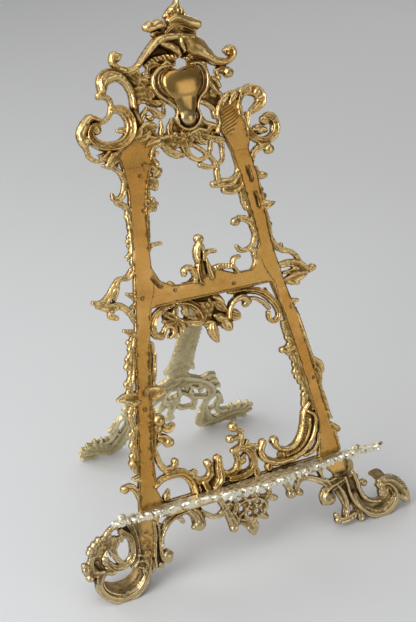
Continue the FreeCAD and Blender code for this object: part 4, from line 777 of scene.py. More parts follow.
# Arches, leaf drops and the pierced flower pendant under the shelf.
APRON = {
    "grounds": [
        ([(-18, 50), (-8, 52), (8, 52), (20, 50), (22, 46), (18, 36), (14, 30), (8, 33), (5, 26),
          (-2, 24), (-6, 30), (-12, 31), (-17, 28), (-20, 40)], 1.0),
        ([(-50, 60), (-40, 58), (-40, 44), (-50, 42)], 0.4),
    ],
    "strokes": [
        [(-92, 62, 9), (-40, 62, 9), (0, 62, 9), (40, 62, 9), (92, 62, 9)],
        [(-62, 54, 5), (-58, 48.5, 3.5)],
        [(-82, 56, 4), (-79, 52, 4)],
        [(-41, 52, 4.5), (-34, 46, 4.5), (-28, 43.5, 4), (-21, 46, 5.5), (-17, 48, 5)],
        [(-24, 58, 5), (-21, 52, 5), (-18, 44, 6), (-15, 36, 6), (-14, 30, 6)],
        [(-16, 60, 4), (-11, 55, 4), (-9, 50, 4), (-12, 44, 5)],
        [(-6, 58, 5), (-1, 51, 4), (6, 48, 4), (12, 52, 4)],
        [(8, 60, 5), (8, 51, 5), (13, 44, 5)],
        [(20, 58, 5), (23, 51, 4), (19, 46, 5)],
        [(22, 47, 4.5), (26, 44.5, 5)],
        [(37, 58, 6), (41, 50, 5), (43.5, 43, 7)],
        [(58, 57, 6), (52, 52, 5), (48, 46, 4.5), (51, 42.5, 5.5)],
        [(51, 54, 4.5), (60, 53, 5), (69, 49, 5.5), (79, 41.5, 5.5)],
        [(72, 57, 4), (75, 50, 4), (80, 44, 4)],
    ],
    "sections": [
        (twin, 3.2, [(-80, 34, 4.5), (-78.5, 42, 5), (-73, 50, 6), (-64, 55, 6), (-54, 56.5, 6),
                     (-46, 56, 6)]),
        (reed, 4.2, [(-51, 57, 8), (-46, 51, 10), (-44, 43, 11)]),
        (keel, 2.6, [(-2, 38, 6), (2, 30, 10), (3, 24, 9), (3, 20, 4)]),
        (keel, 2.4, [(8, 40, 5), (13, 34, 8), (16, 31, 5)]),
        (keel, 2.4, [(-8, 38, 5), (-12, 34, 7), (-15, 30, 5)]),
        (dome, 2.0, [(-14, 44, 3), (-6, 49, 3), (4, 50, 3), (14, 47, 3), (18, 40, 3), (12, 34, 3),
                     (2, 33, 3), (-8, 36, 3), (-14, 44, 3)]),
        (dome, 2.2, [(-10, 37, 2.6), (-1, 43, 2.8), (8, 50, 2.6)]),
        (dome, 2.2, [(0, 34, 2.6), (8, 41, 2.8), (16, 46, 2.6)]),
        (dome, 2.2, [(-8, 48, 2.6), (1, 41, 2.8), (11, 34, 2.6)]),
        (dome, 2.2, [(2, 49, 2.6), (10, 43, 2.8), (17, 38, 2.6)]),
    ],
    "beads": [
        (-44.5, 42, 5.6), (-49.5, 40.5, 2), (-14.5, 29.5, 3.6), (27, 44.5, 2.8), (43, 43.5, 4.4),
        (51, 42.5, 3.4),
    ],
    "flowers": [
        (-16, 50, 4, 5), (3, 27, 5, 5),
    ],
    "holes": [
        (-5, 44, 2.2, 2.8), (4, 46, 1.8, 2.2), (2, 38, 2.6, 2.2), (11, 46, 1.6, 2), (9, 38, 2, 2.6),
        (-5, 52, 3, 1.8), (14, 41.5, 1.6, 1.6), (3, 53, 2.6, 1.5),
    ],
}

# Stem, flower garland and inner volute of the left foot.
LEFT_FOOT = {
    "grounds": [
        ([(-104, 66), (-79, 66), (-84, 45), (-86, 30), (-88, 18), (-92, 14), (-99, 10), (-101, 24),
          (-101, 36), (-104, 48)], 2.3),
        ([(-84, 52), (-78, 46), (-80, 36), (-80, 24), (-84, 18), (-88, 22), (-87, 36)], 1.0),
        ([(-118, 62), (-106, 62), (-104, 52), (-112, 54), (-118, 60)], 0.8),
        ([(-140, 50), (-124, 57), (-116, 52), (-117, 44), (-128, 42), (-138, 42)], 0.6),
        ([(-142, 40), (-134, 38), (-132, 27), (-140, 24), (-147, 28), (-148, 36)], 0.6),
    ],
    "strokes": [
        [(-118, 50, 4), (-120, 42, 4.5), (-119, 35, 5), (-115, 30, 4)],
        [(-122, 49, 4.5), (-125, 43, 5), (-121, 38, 4)],
        [(-114, 62, 5), (-121, 58, 5), (-127, 53, 5)],
        [(-138, 44, 4.5), (-141, 36, 5), (-140, 29, 6), (-134, 27, 6)],
    ],
    "sections": [
        (dome, 3.2, [(-83.5, 56, 3.5), (-84, 46, 4.2), (-86, 36, 4.2), (-88, 25, 3.6),
                     (-88, 19, 3)]),
        (channel, 3.0, [(-104, 60, 6), (-101.5, 50, 5), (-101, 40, 5), (-103, 30, 5),
                        (-107, 25, 4)]),
        (dome, 2.6, [(-80, 50, 3.2), (-81, 40, 3.6), (-81.5, 30, 4.5), (-80.5, 23, 5),
                     (-76, 21, 5.5), (-73.5, 25, 4.5)]),
        (dome, 2.8, [(-101, 32, 3), (-95, 31, 3.6), (-91, 25, 3.6), (-90.5, 17, 3.2)]),
        (dome, 2.8, [(-101, 27.5, 3), (-97, 26.5, 3.2), (-94.5, 21, 3.2), (-94, 15, 3)]),
        (dome, 2.6, [(-102, 23, 2.6), (-99, 21, 3), (-97.5, 16, 3), (-98, 11, 2.6)]),
        (channel, 3.2, [(-112, 56, 6), (-106, 50, 5.5), (-104.5, 41, 5), (-107, 32, 5),
                        (-114, 27.5, 5), (-121, 28, 6), (-127, 34, 5)]),
        (keel, 3.0, [(-127, 30, 5), (-128.5, 37, 7), (-126, 43, 4)]),
        (twin, 3.4, [(-91, 30, 5), (-93.5, 20, 6), (-99, 10.5, 7), (-107, 4, 7.5), (-118, 1.5, 8),
                     (-128.5, 5.5, 8), (-135.5, 13.5, 8), (-136, 22, 7.5), (-130.5, 27, 6),
                     (-124, 25, 5)]),
    ],
    "beads": [
        (-76.5, 25, 4.8), (-145, 33, 3.6), (-143, 26, 3.4), (-83.5, 18.5, 3), (-138, 30, 3),
        (-146, 37, 2.2), (-135, 51, 3), (-139, 47, 2.6), (-131, 54, 2.6), (-112, 70, 2.6),
    ],
    "flowers": [
        (-142.5, 33, 5, 6), (-137, 46, 5.5, 6), (-129, 51, 5.5, 6), (-121, 53, 5, 5),
        (-119, 47, 4, 5), (-113, 50, 3.5, 5), (-133, 44, 4, 5), (-125, 47, 4, 6),
    ],
    "holes": [(-76.5, 55, 3.4, 2.4, 0.4), (-117, 56, 3.4, 2.6), (-125.5, 40, 1.5, 3, 0.4)],
}

# Stem, volute, small scrolled toe, flower and end leaf of the right foot.
RIGHT_FOOT = {
    "grounds": [
        ([(82, 66), (104, 66), (105, 50), (104, 42), (109, 40), (110, 28), (114, 19), (108, 12),
          (100, 8), (88, 8), (91, 18), (88, 26), (84, 34), (82, 38), (86, 46)], 1.4),
    ],
    "strokes": [
        [(83, 12, 4.5), (86, 6.8, 6.5), (92, 6, 6.5), (100, 8, 6)],
        [(105, 10, 5), (106.5, 3, 6)],
        [(110, 35, 4), (114, 33, 5)],
        [(84, 59, 5), (75, 58, 4), (74.5, 50, 3.5), (80, 43.5, 4), (86, 44, 5)],
        [(103, 60, 5), (103, 50, 5.5), (101, 44, 4)],
    ],
    "sections": [
        (twin, 3.8, [(94, 42, 6), (87, 40.5, 8), (79, 37.5, 9), (74, 32, 9), (73, 27, 6)]),
        (dome, 3.0, [(86, 41, 3), (91, 33, 4), (94, 24, 4.5), (94, 14, 4.5), (92, 8, 4)]),
        (dome, 3.2, [(96, 44, 3), (97.5, 34, 3.6), (99, 25, 3.6), (103, 17, 4), (110, 9, 4),
                     (118, 4, 4)]),
        (dome, 3.4, [(104, 46, 4), (107, 38, 5), (108.5, 29, 5), (112, 21, 5), (119, 15.5, 4.5),
                     (127, 13.5, 4)]),
        (twin, 3.4, [(102, 26, 5), (106, 16, 6), (112, 8.5, 7), (121, 3.2, 7.5), (130, 2.2, 7.5),
                     (138.5, 6, 7.5), (144, 13, 7.5), (143, 20.5, 7), (138, 26, 6), (131, 27, 5)]),
        (keel, 3.4, [(134, 31, 6), (143, 28.5, 9), (150, 21, 10), (154.5, 13, 9), (157, 5, 4)]),
        (dome, 2.4, [(144, 14, 5), (150, 11, 6), (155, 6.5, 6)]),
    ],
    "beads": [
        (77.5, 29.5, 6.4), (114.5, 33.5, 3.2), (106.5, 41, 3.4), (97, 5.5, 3), (84, 7.5, 3.4),
    ],
    "flowers": [
        (132, 27, 6, 6), (131, 19.5, 4, 5), (136, 22, 3.6, 5),
    ],
    "holes": [(98.5, 14, 2.4, 3.4, 0.3), (79, 51.5, 4, 4.4, 0.8)],
}

# Branches and leaf feet of one side of the rear leg, and the pierced scrollwork between them
LEG_BRANCHES = [
    (gouge, 2.4, [(2, 104, 14), (14, 98, 12), (27, 91, 8.5), (36, 82, 9), (42, 72, 9),
                  (44, 60, 8)]),
    (keel, 1.8, [(34, 87, 4), (40, 88, 6), (45, 85, 3)]),
    (keel, 1.8, [(42, 76, 4), (48, 76, 5), (51, 73, 2)]),
    (keel, 1.6, [(28, 95, 6), (34, 98, 6), (39, 97, 5)]),
    (keel, 1.6, [(27, 88, 6), (30, 80, 6), (30, 73, 4)]),
    (keel, 1.6, [(12, 94, 8), (14, 85, 5)]),
    (dome, 2.0, [(44, 62, 8), (51, 60, 5), (55, 54, 5), (57, 47, 6), (60, 42, 3)]),
    (dome, 2.0, [(56, 50, 5), (55, 40, 5), (57, 31, 5), (62, 25, 6), (68, 24, 6)]),
    (gouge, 2.4, [(43, 62, 8), (41, 50, 5), (42, 38, 7), (45, 26, 12), (49, 15, 14), (57, 8, 14)]),
    (dome, 1.6, [(41, 36, 4), (48, 34, 4), (54, 36, 4)]),
    (keel, 2.0, [(6, 130, 8), (11, 123, 6), (14, 118, 3)]),
    (flat, 1.2, [(54, 8, 12), (66, 12, 17), (76, 15, 21), (85, 14.5, 18), (91, 12, 10)]),
    (gouge, 2.6, [(50, 8, 11), (60, 8, 12), (70, 11, 12), (80, 14, 10), (89, 13, 7)]),
    (keel, 2.0, [(64, 14, 4), (66, 20, 6), (65, 26, 2)]),
    (keel, 2.0, [(70, 17, 4), (73, 24, 6.5), (73, 31, 2)]),
    (keel, 2.0, [(77, 18, 4), (81, 25, 6.5), (82.5, 32, 2)]),
    (keel, 2.0, [(82, 18, 4), (88, 22.5, 6.5), (92, 28, 2)]),
    (keel, 2.0, [(86, 15, 4), (92.5, 17, 6.5), (98.5, 21, 2)]),
    (keel, 2.0, [(86, 11, 4), (93, 10, 6.5), (100, 11, 2)]),
    (keel, 2.0, [(82, 9, 4), (89, 5.5, 6), (96, 3, 2)]),
    (keel, 2.0, [(72, 7, 4), (78, 4, 5), (84, 2, 2)]),
    (keel, 1.8, [(41, 32, 6), (42, 20, 11), (45, 8, 9)]),
]
LEG_SCROLLWORK = [
    (dome, 1.8, [(3, 92, 4), (6, 84, 4), (8, 76, 5), (4, 68, 8)]),
    (gouge, 1.8, [(9, 80, 4), (18, 72, 5), (25, 63, 6), (28, 54, 5), (27, 46, 5)]),
    (gouge, 1.8, [(4, 66, 8), (9, 56, 5), (16, 50, 5), (24, 49, 5), (29, 44, 4)]),
    (dome, 1.8, [(26, 66, 4), (33, 62, 5), (42, 60, 5)]),
    (dome, 1.8, [(14, 94, 4), (19, 86, 3.6), (26, 82, 3.6), (32, 84, 4)]),
    (dome, 1.8, [(19, 86, 3.4), (18, 79, 3.6), (22, 73, 4)]),
]
# Teeth along the strut's two edges
LEG_SERRATIONS = [(9.2, v, 1.9) for v in range(136, 226, 6)] + [
    (20, 98.5, 2.4), (30, 93, 2.2), (38, 84, 2.2), (45.5, 74, 2.2), (47, 66, 2.2), (54, 55, 2.2),
    (58, 42, 2.2), (60, 28, 2.2), (38, 40, 2.4), (37.5, 30, 2.4), (38, 20, 2.4), (40, 11, 2.6)]

# Rows of beads: count, radius, first and last place
BEAD_ROWS = [
    (5, 1.7, (-60.5, 302), (-61, 284)), (5, 1.8, (-62, 282), (-65, 268)),
    (9, 2.6, (-76, 203), (-84, 165)),
    (6, 2.7, (-86.5, 146), (-91, 104)),
    (7, 2.4, (59.5, 304), (61.5, 266)), (3, 2.2, (42, 302), (43, 290)),
    (12, 2.8, (59.8, 182), (70, 118)),
    (5, 2.2, (83.5, 132), (89, 103)),
]

# Deep ribbons of the feet
FOOT_DEPTH = 21.0
FOOT_FRONT = 4.0
FOOT_SCROLLS = {
    "left_foot": [(-93, 32, 5), (-94.5, 20, 5), (-99, 10, 5), (-107, 3, 5), (-118, 0.5, 5.5),
                  (-129, 4.5, 5.5), (-136.5, 13, 5.5), (-137, 22, 5.5), (-131, 28, 5),
                  (-124, 25, 4)],
    "right_foot": [(102, 28, 5), (106, 16, 5), (112, 7, 5), (121, 1.3, 5), (130, 0.3, 5),
                   (139, 4, 5), (145, 12, 5), (144, 21, 5), (138, 27, 5), (131, 27, 4)],
}


# ---------------------------------------------------------------- the front castings

# The joints between the crossrail and each stile, from below
LEFT_SEAM = [(-40, 186), (-58, 190), (-57, 224), (-50, 240), (-47, 262), (-15, 264), (-15, 290)]
RIGHT_SEAM = [(57, 186), (60, 192), (60, 204), (58, 224), (50, 240), (48, 250), (40, 254.5),
              (15, 254.5), (15, 290)]
TERRITORIES = {
    "crest": [(-200, 338), (-41, 338), (-41, 327), (-20, 327), (-20, 322), (37.5, 322), (37.5, 338),
              (200, 338), (200, 480), (-200, 480)],
    "left_stile": [(-200, SEAM), (-76.5, SEAM), (-76.5, 104), (-72, 118), (-40, 118), *LEFT_SEAM,
                   (-20, 300), (-20, 327), (-41, 327), (-41, 338), (-200, 338)],
    "right_stile": [(77, SEAM), (77, 108), (60, 119), (40, 119), (40, 186), *RIGHT_SEAM, (12, 300),
                    (12, 322), (37.5, 322), (37.5, 338), (200, 338), (200, SEAM)],
    "crossrail": [*LEFT_SEAM, *RIGHT_SEAM[::-1]],
    "lower_rail": [(-76.5, SEAM), (-76.5, 104), (-72, 118), (-40, 118), (-20, 125), (20, 125),
                   (40, 119), (60, 119), (77, 108), (77, SEAM)],
    "apron": [(-79.5, SEAM), (-79.5, 58), (-76, 48), (-68, 42), (-68, 10), (62, 10), (62, 40),
              (73, 40), (73, SEAM)],
    "left_foot": [(-200, SEAM), (-79.5, SEAM), (-79.5, 58), (-76, 48), (-68, 42), (-68, -30),
                  (-200, -30)],
    "right_foot": [(200, SEAM), (73, SEAM), (73, 40), (62, 40), (62, -30), (200, -30)],
}
# Outlines of the polished flats: stiles and crossrail, the stems of the feet, the apron's band
PLATES = [
    [(-94, 66), (-92, 80), (-88.5, 102), (-73, 200), (-68.5, 226), (-64, 256), (-57, 318),
     (-58, 338), (-60, 347), (-57, 353), (-51, 357.5), (-46, 361), (-41, 361), (-37, 357),
     (-31, 356), (-27, 352), (-31, 346), (-34, 338), (-40, 322), (-47.5, 270), (-48, 258),
     (-43, 247), (-34, 241), (-20, 240), (-8, 240.5), (4, 246), (12, 245), (22, 240.5), (38, 240),
     (44, 245), (44, 252), (49, 260), (47, 270), (40, 322), (37.5, 338), (33, 350), (30.5, 360),
     (29.5, 368), (31, 375), (36, 380), (41, 377.5), (46, 380.5), (50.5, 376), (53, 364), (57, 350),
     (53, 338), (56.5, 318), (60.5, 260), (66.5, 226), (73, 200), (89, 100), (93, 80), (95, 66),
     (74, 66), (74, 72), (77, 84), (78, 100), (61, 200), (54, 226), (-54, 226), (-60, 200),
     (-76, 100), (-77, 84), (-73, 72), (-73, 66)],
    [(-97, 66), (-79, 66), (-79, 56), (-85, 46), (-86, 34), (-91, 22), (-98, 26), (-98, 40),
     (-98, 50)],
    [(98, 66), (72, 66), (72, 57.5), (78, 57.5), (85, 50), (98, 50)],
    [(-80, 66), (74, 66), (74, 57.5), (-80, 57.5)],
]
# Raised fillets along the inner edges of the polished stiles
FILLETS = [
    [(-61, 198, 1.6), (-69, 148, 1.8), (-75.5, 100, 1.8), (-76, 86, 1.6)],
    [(-34.5, 337, 1.4), (-40.5, 322, 1.6), (-47.5, 272, 1.4)],
    [(41, 322, 1.4), (47.5, 272, 1.6), (49, 262, 1.2)],
    [(61.5, 198, 1.4), (70, 150, 1.6), (78, 102, 1.6)],
    [(-50, 227, 1.4), (0, 227, 1.6), (50, 227, 1.4)],
]
# Leaves that curl over the ends of the polished stiles
OVERLAYS = [
    [(-61, 351, 4), (-54, 355.5, 4), (-47, 360.5, 4), (-43.5, 365, 3)],
    [(-44, 360, 2), (-40.5, 362, 6), (-37, 366, 4)],
    [(-39, 357, 2), (-34, 359.5, 5), (-30, 363, 3)],
    [(-35, 352.5, 1.5), (-30, 355, 5), (-24, 356, 4)],
    [(-33.5, 342, 1.5), (-31.5, 347, 3), (-27, 352, 4), (-21, 353.5, 4)],
    [(28, 355, 3), (31, 362, 2.4), (30, 369, 2.4), (33, 376, 3), (37, 381, 3)],
    [(36, 375, 1.5), (38, 379.5, 5), (41, 383, 4)],
    [(42, 375, 1.5), (45, 379, 5), (49, 383, 4)],
    [(48, 371, 1.5), (50.5, 376, 4), (53, 381, 4)],
    [(54, 347, 2), (54.5, 355, 2.4), (52.5, 363, 2.4), (51.5, 372, 2.4)],
]
# Round pits: place. Slots: place, length, width and turn.
PITS = [(-45, 331), (-47, 304), (-75, 148), (80, 138), (66, 174), (20, 232), (-32, 237), (-61, 236)]
SLOTS = [(50, 318, 6.0, 1.5, 1.72), (53, 296, 6.5, 1.1, 1.68), (-46.5, 246, 5.5, 1.6, -0.95)]

# Low and high corner of the dented patch on the left foot's stem, and its number of dents
DENTED = ((-100, 22), (-88, 52))
DENTS = 60
# Outline of the tool marks on the right shoulder
HATCHED = [(28, 352), (33, 380), (44, 380), (50, 366), (40, 350)]


def front_relief():
    """The whole front as one relief, so that neighbouring castings meet face to face."""
    relief = Relief(*FRONT_CORNERS)
    for table in (CREST, LEFT_STILE, RIGHT_STILE, CROSSRAIL,
                  LOWER_RAIL, APRON, LEFT_FOOT, RIGHT_FOOT):
        relief.add_table(table)
    random = np.random.default_rng(SEEDS["beads"])
    for count, r, start, end in BEAD_ROWS:
        start, end = np.array(start), np.array(end)
        for share in np.linspace(0, 1, count):
            place = start + share * (end - start) + random.normal(0, 0.8, 2)
            relief.bead(*place, r * random.uniform(0.6, 1.35), 0.7 * r)
    for plate in PLATES:
        relief.plate(plate, FACE)
    for fillet in FILLETS:
        relief.stroke(fillet, dome, 1.0, lift=FACE - 0.3, polish=1.0)
    for leaf in OVERLAYS:
        relief.stroke(leaf, dome, 1.5, lift=FACE - 0.5)
    for u, v in PITS:
        relief.dent(u, v, 1.1, 1.0, 0.9)
    for u, v, long, wide, turn in SLOTS:
        relief.dent(u, v, long, wide, 1.5, turn)
    for u, v in np.random.default_rng(SEEDS["dents"]).uniform(*DENTED, (DENTS, 2)):
        relief.dent(u, v, 0.8, 0.7, 0.4)
    hatch(relief)
    patches = 0.2 * lumps(relief.top.shape, 1.5 / relief.cell, SEEDS["ragged"])
    ragged = relief.polish + patches * (relief.top > COVERED)
    upper = np.clip((relief.vs - 340) / 12, 0, 1)[None]
    relief.polish = np.clip((1 - upper) * blurred(ragged, 1.2 / relief.cell)
                            + upper * blurred(ragged, 3.0 / relief.cell), 0, 1)
    weathered(relief, SEEDS["front"], 0.19, 0.08)
    return relief


def hatch(relief):
    """Cut slanting tool grooves into the right shoulder's polished flat."""
    corners = np.array(HATCHED, float)
    cut, spots = relief.window(corners.min(0), corners.max(0))
    depth = np.clip(-polygon_distance(spots, corners) / 3, 0, 1)
    across = spots[..., 1] - 0.62 * spots[..., 0] + 0.8 * np.sin(spots[..., 0] / 3.1)
    relief.top[cut] -= 0.42 * depth * np.clip(np.sin(2 * math.pi * across / 2.6), 0, 1)


def smooth_union(a, b, blend):
    """Two fields melted together."""
    near = np.clip(0.5 + 0.5 * (a - b) / blend, 0, 1)
    return a + (b - a) * near - blend * near * (1 - near)


def casting_field(relief, name, low_w, high_w):
    """The field of one front casting over its own block of cells, with the block's places."""
    corners = np.array(TERRITORIES[name], float)
    keep = polygon_distance(np.stack(np.meshgrid(relief.us, relief.vs, indexing="ij"), -1), corners)
    used = (keep < 0) & (relief.edge < 0.3)
    if name in FOOT_SCROLLS:
        places = smooth_line(FOOT_SCROLLS[name])[0]
        low, high = places.min(0) - RIBBON_ROOM, places.max(0) + RIBBON_ROOM
        beside = (relief.us > low[0]) & (relief.us < high[0])
        used |= beside[:, None] & (relief.vs < high[1])[None]
    rows, columns = np.where(used)
    cut = tuple(slice(max(line.min() - MARGIN, 0), line.max() + MARGIN + 1)
                for line in (rows, columns))
    ws = np.arange(low_w, high_w, relief.cell)[None, None]
    edge, top = relief.edge[cut][..., None], relief.top[cut][..., None]
    round_back = BACK + 0.8 * np.clip(1 + edge, 0, 1) ** 2
    field = np.maximum(np.maximum(edge, np.minimum(ws - top, FAR)), round_back - ws)
    us, vs, keep = relief.us[cut[0]], relief.vs[cut[1]], np.clip(keep[cut], -FAR, FAR)[..., None]
    return field, keep, (us[0], vs[0], low_w), us, vs, ws[0, 0]


def foot_ribbon(name, us, vs, ws):
    """Field of a foot's deep C ribbon. It runs level from front to back, with rolled rims."""
    ribbon = Relief((us[0] - 1, vs[0] - 12), (us[-1] + 1, vs[-1] + 12))
    ribbon.stroke(FOOT_SCROLLS[name], dome)
    u, v, w = np.meshgrid(us, vs, ws, indexing="ij")
    level_v = v + (w - FOOT_FRONT) * math.tan(LEAN)
    behind = FOOT_FRONT - w
    depth = FOOT_DEPTH * math.cos(LEAN)
    share = np.clip(behind / depth, 0, 1)
    edge = sampled(ribbon.edge, ribbon, u.ravel(), level_v.ravel()).reshape(u.shape)
    bow = np.sin(math.pi * share)
    thin = 1.1 * bow ** 0.7 + 0.32 * np.cos(5 * math.pi * share) * bow
    return np.maximum(edge + thin, np.maximum(-behind, behind - depth))


def world_height(us, vs, ws):
    """Height above the floor of places in the front's plane."""
    height = vs[None, :, None] * math.cos(LEAN) + ws[None, None] * math.sin(LEAN)
    return height + 0 * us[:, None, None]


def casting(relief, contrast, name):
    """One front casting as a piece that replaces its node."""
    low_w, high_w = FOOT_DEPTHS if name in FOOT_SCROLLS else FRONT_DEPTHS
    field, keep, low, us, vs, ws = casting_field(relief, name, low_w, high_w)
    if name in FOOT_SCROLLS:
        field = smooth_union(field, foot_ribbon(name, us, vs, ws), 1.6)
        field = np.maximum(field, -world_height(us, vs, ws))
    # Neighbours run a little way into each other and sink there, so that no joint shows
    field = np.maximum(field + SINK * np.clip(keep, 0, LAP), keep - LAP)
    places, faces = isosurface(field, low, relief.cell)
    raised = sampled(contrast, relief, places[:, 0], places[:, 1])
    top = sampled(np.maximum(relief.top, BACK), relief, places[:, 0], places[:, 1])
    below = np.clip(top - places[:, 2], 0, 6)
    polish = sampled(relief.polish, relief, places[:, 0], places[:, 1]) * np.clip(1.6 - below, 0, 1)
    outside = np.clip(sampled(relief.edge, relief, places[:, 0], places[:, 1]) / 0.5, 0, 1)
    wall = np.clip(below - 0.4, 0, 1) * (1 - outside)
    raised = raised * (1 - outside) * (1 - wall) + OUTSIDE_TONE * outside
    # Painted shade: the tone mark drops for each millimetre down a side wall, which darkens the walls.
    shade = FOOT_SHADE if name in FOOT_SCROLLS else WALL_SHADE
    marks = {"raised": raised - shade * below, "polish": polish}
    return mesh_piece(name + "_cast", places, faces, front_to_world(places), marks)


# ---------------------------------------------------------------- cartouche

SHIELD = [(-14.5, 400), (-13, 405), (-8, 408.5), (-2, 409), (3, 407.3), (8, 408.5), (14, 409),
          (18.5, 406), (20, 400), (18.8, 394), (15.5, 388.5), (12.5, 383), (10.5, 378), (10.5, 373),
          (-4.5, 373), (-5, 378), (-8.5, 384), (-12, 389.5), (-14.2, 395)]
SHIELD_RIMS = [
    [(-5, 411.5, 2.5), (-13, 411, 3.6), (-20, 405, 4.2), (-21.5, 398, 4.4), (-18.5, 390.5, 3.8),
     (-11, 384, 3), (-5, 376, 2.6), (-7, 369, 2.6), (-3, 362.5, 3), (4, 360.5, 3.2), (10, 363, 3),
     (14, 369, 2.6), (13, 377, 2.6), (16, 383.5, 3), (22.5, 389.5, 3.4), (25.5, 397, 3.8),
     (25.3, 404, 3.8), (20.5, 410.5, 3.2), (13, 411, 2.4)],
    [(-9, 409.5, 1.4), (-14.5, 406.5, 2), (-16.7, 400, 2.2), (-15.5, 393.5, 2), (-11, 388, 1.6)],
    [(15, 386.5, 1.6), (20, 392, 2), (22, 399, 2.2), (20.3, 406, 2), (16, 409.5, 1.4)],
    [(-2.5, 371, 2), (-1, 365.5, 2), (4, 363.3, 2), (8.5, 366, 2), (10, 371, 2)],
]


def cartouche():
    """Polished domed shield with raised double rims, a neck and a round drop."""
    relief = Relief((-30, 352), (36, 420), 0.4)
    shield = np.array(SHIELD, float)
    cut, spots = relief.window(shield.min(0), shield.max(0))
    edge = polygon_distance(spots, shield)
    swell = np.hypot((spots[..., 0] - 3) / 18.5, (spots[..., 1] - 397.5) / 14.5)
    rounded = 5.8 * np.sqrt(np.clip(1 - swell ** 2, 0, 1))
    dome_top = 3.9 + rounded * np.clip(-edge / 1.8, 0, 1) ** 0.5
    relief.join(cut, edge, dome_top, polish=1.0)
    relief.stroke([(3.5, 390, 23), (3.5, 382, 18), (3.2, 375, 15)], dome, 3.8, lift=3.6, polish=1.0)
    relief.bead(3.2, 370.5, 7.4, 5.6, lift=3.2)
    ground = [(-19, 398, 10), (-9, 398, 24), (2, 395, 25), (13, 398, 24), (23, 398, 10)]
    relief.stroke(ground, flat, 0.4, lift=3.5)
    relief.stroke([(4, 384, 15), (4, 376, 13), (4, 369, 15)], flat, 0.4, lift=3.2)
    for index, rim in enumerate(SHIELD_RIMS):
        relief.stroke(rim, dome, 3.0 if index == 0 else 1.9, lift=3.4)
    relief.top = np.where(relief.polish < 0.5, blurred(relief.top, 0.8), relief.top)
    weathered(relief, SEEDS["cartouche"], 0.1, 0.04)
    ws = np.arange(0.5, 13.0, relief.cell)[None, None]
    field = np.maximum(np.maximum(relief.edge[..., None], ws - relief.top[..., None]), 1.4 - ws)
    places, faces = isosurface(field, (relief.us[0], relief.vs[0], 0.5), relief.cell)
    raised = sampled(height_contrast(relief, 1.0), relief, places[:, 0], places[:, 1])
    polish = sampled(relief.polish, relief, places[:, 0], places[:, 1])
    return mesh_piece("cartouche_cast", places, faces, front_to_world(places),
                      {"raised": raised, "polish": polish})


# ---------------------------------------------------------------- shelf

SHELF_ENDS = (-121.0, 133.0)    # u of the tips
SHELF_DEPTH = 17.0      # reach of the straight part
SHELF_BULGE = 14.0      # how much further its middle reaches
SHELF_CREST = 12.0      # u of the middle
SHELF_SPREAD = 45.0     # width of the bulge
LEAF_LONG = 7.6         # length of one leaf of the shelf's edge
FLANGE_U = (-72, 70)    # the flange under the shelf, which the screws go through
FLANGE_V = (57.6, 67)
FLANGE_W = (3.0, 6.0)
# Small leaf buds on the shelf: place, and how much longer than high
SHELF_BUDS = [(-111, 70.0, 8, 1.6), (107, 70.0, 9, 2.0), (129, 68.0, 12, 1.6)]


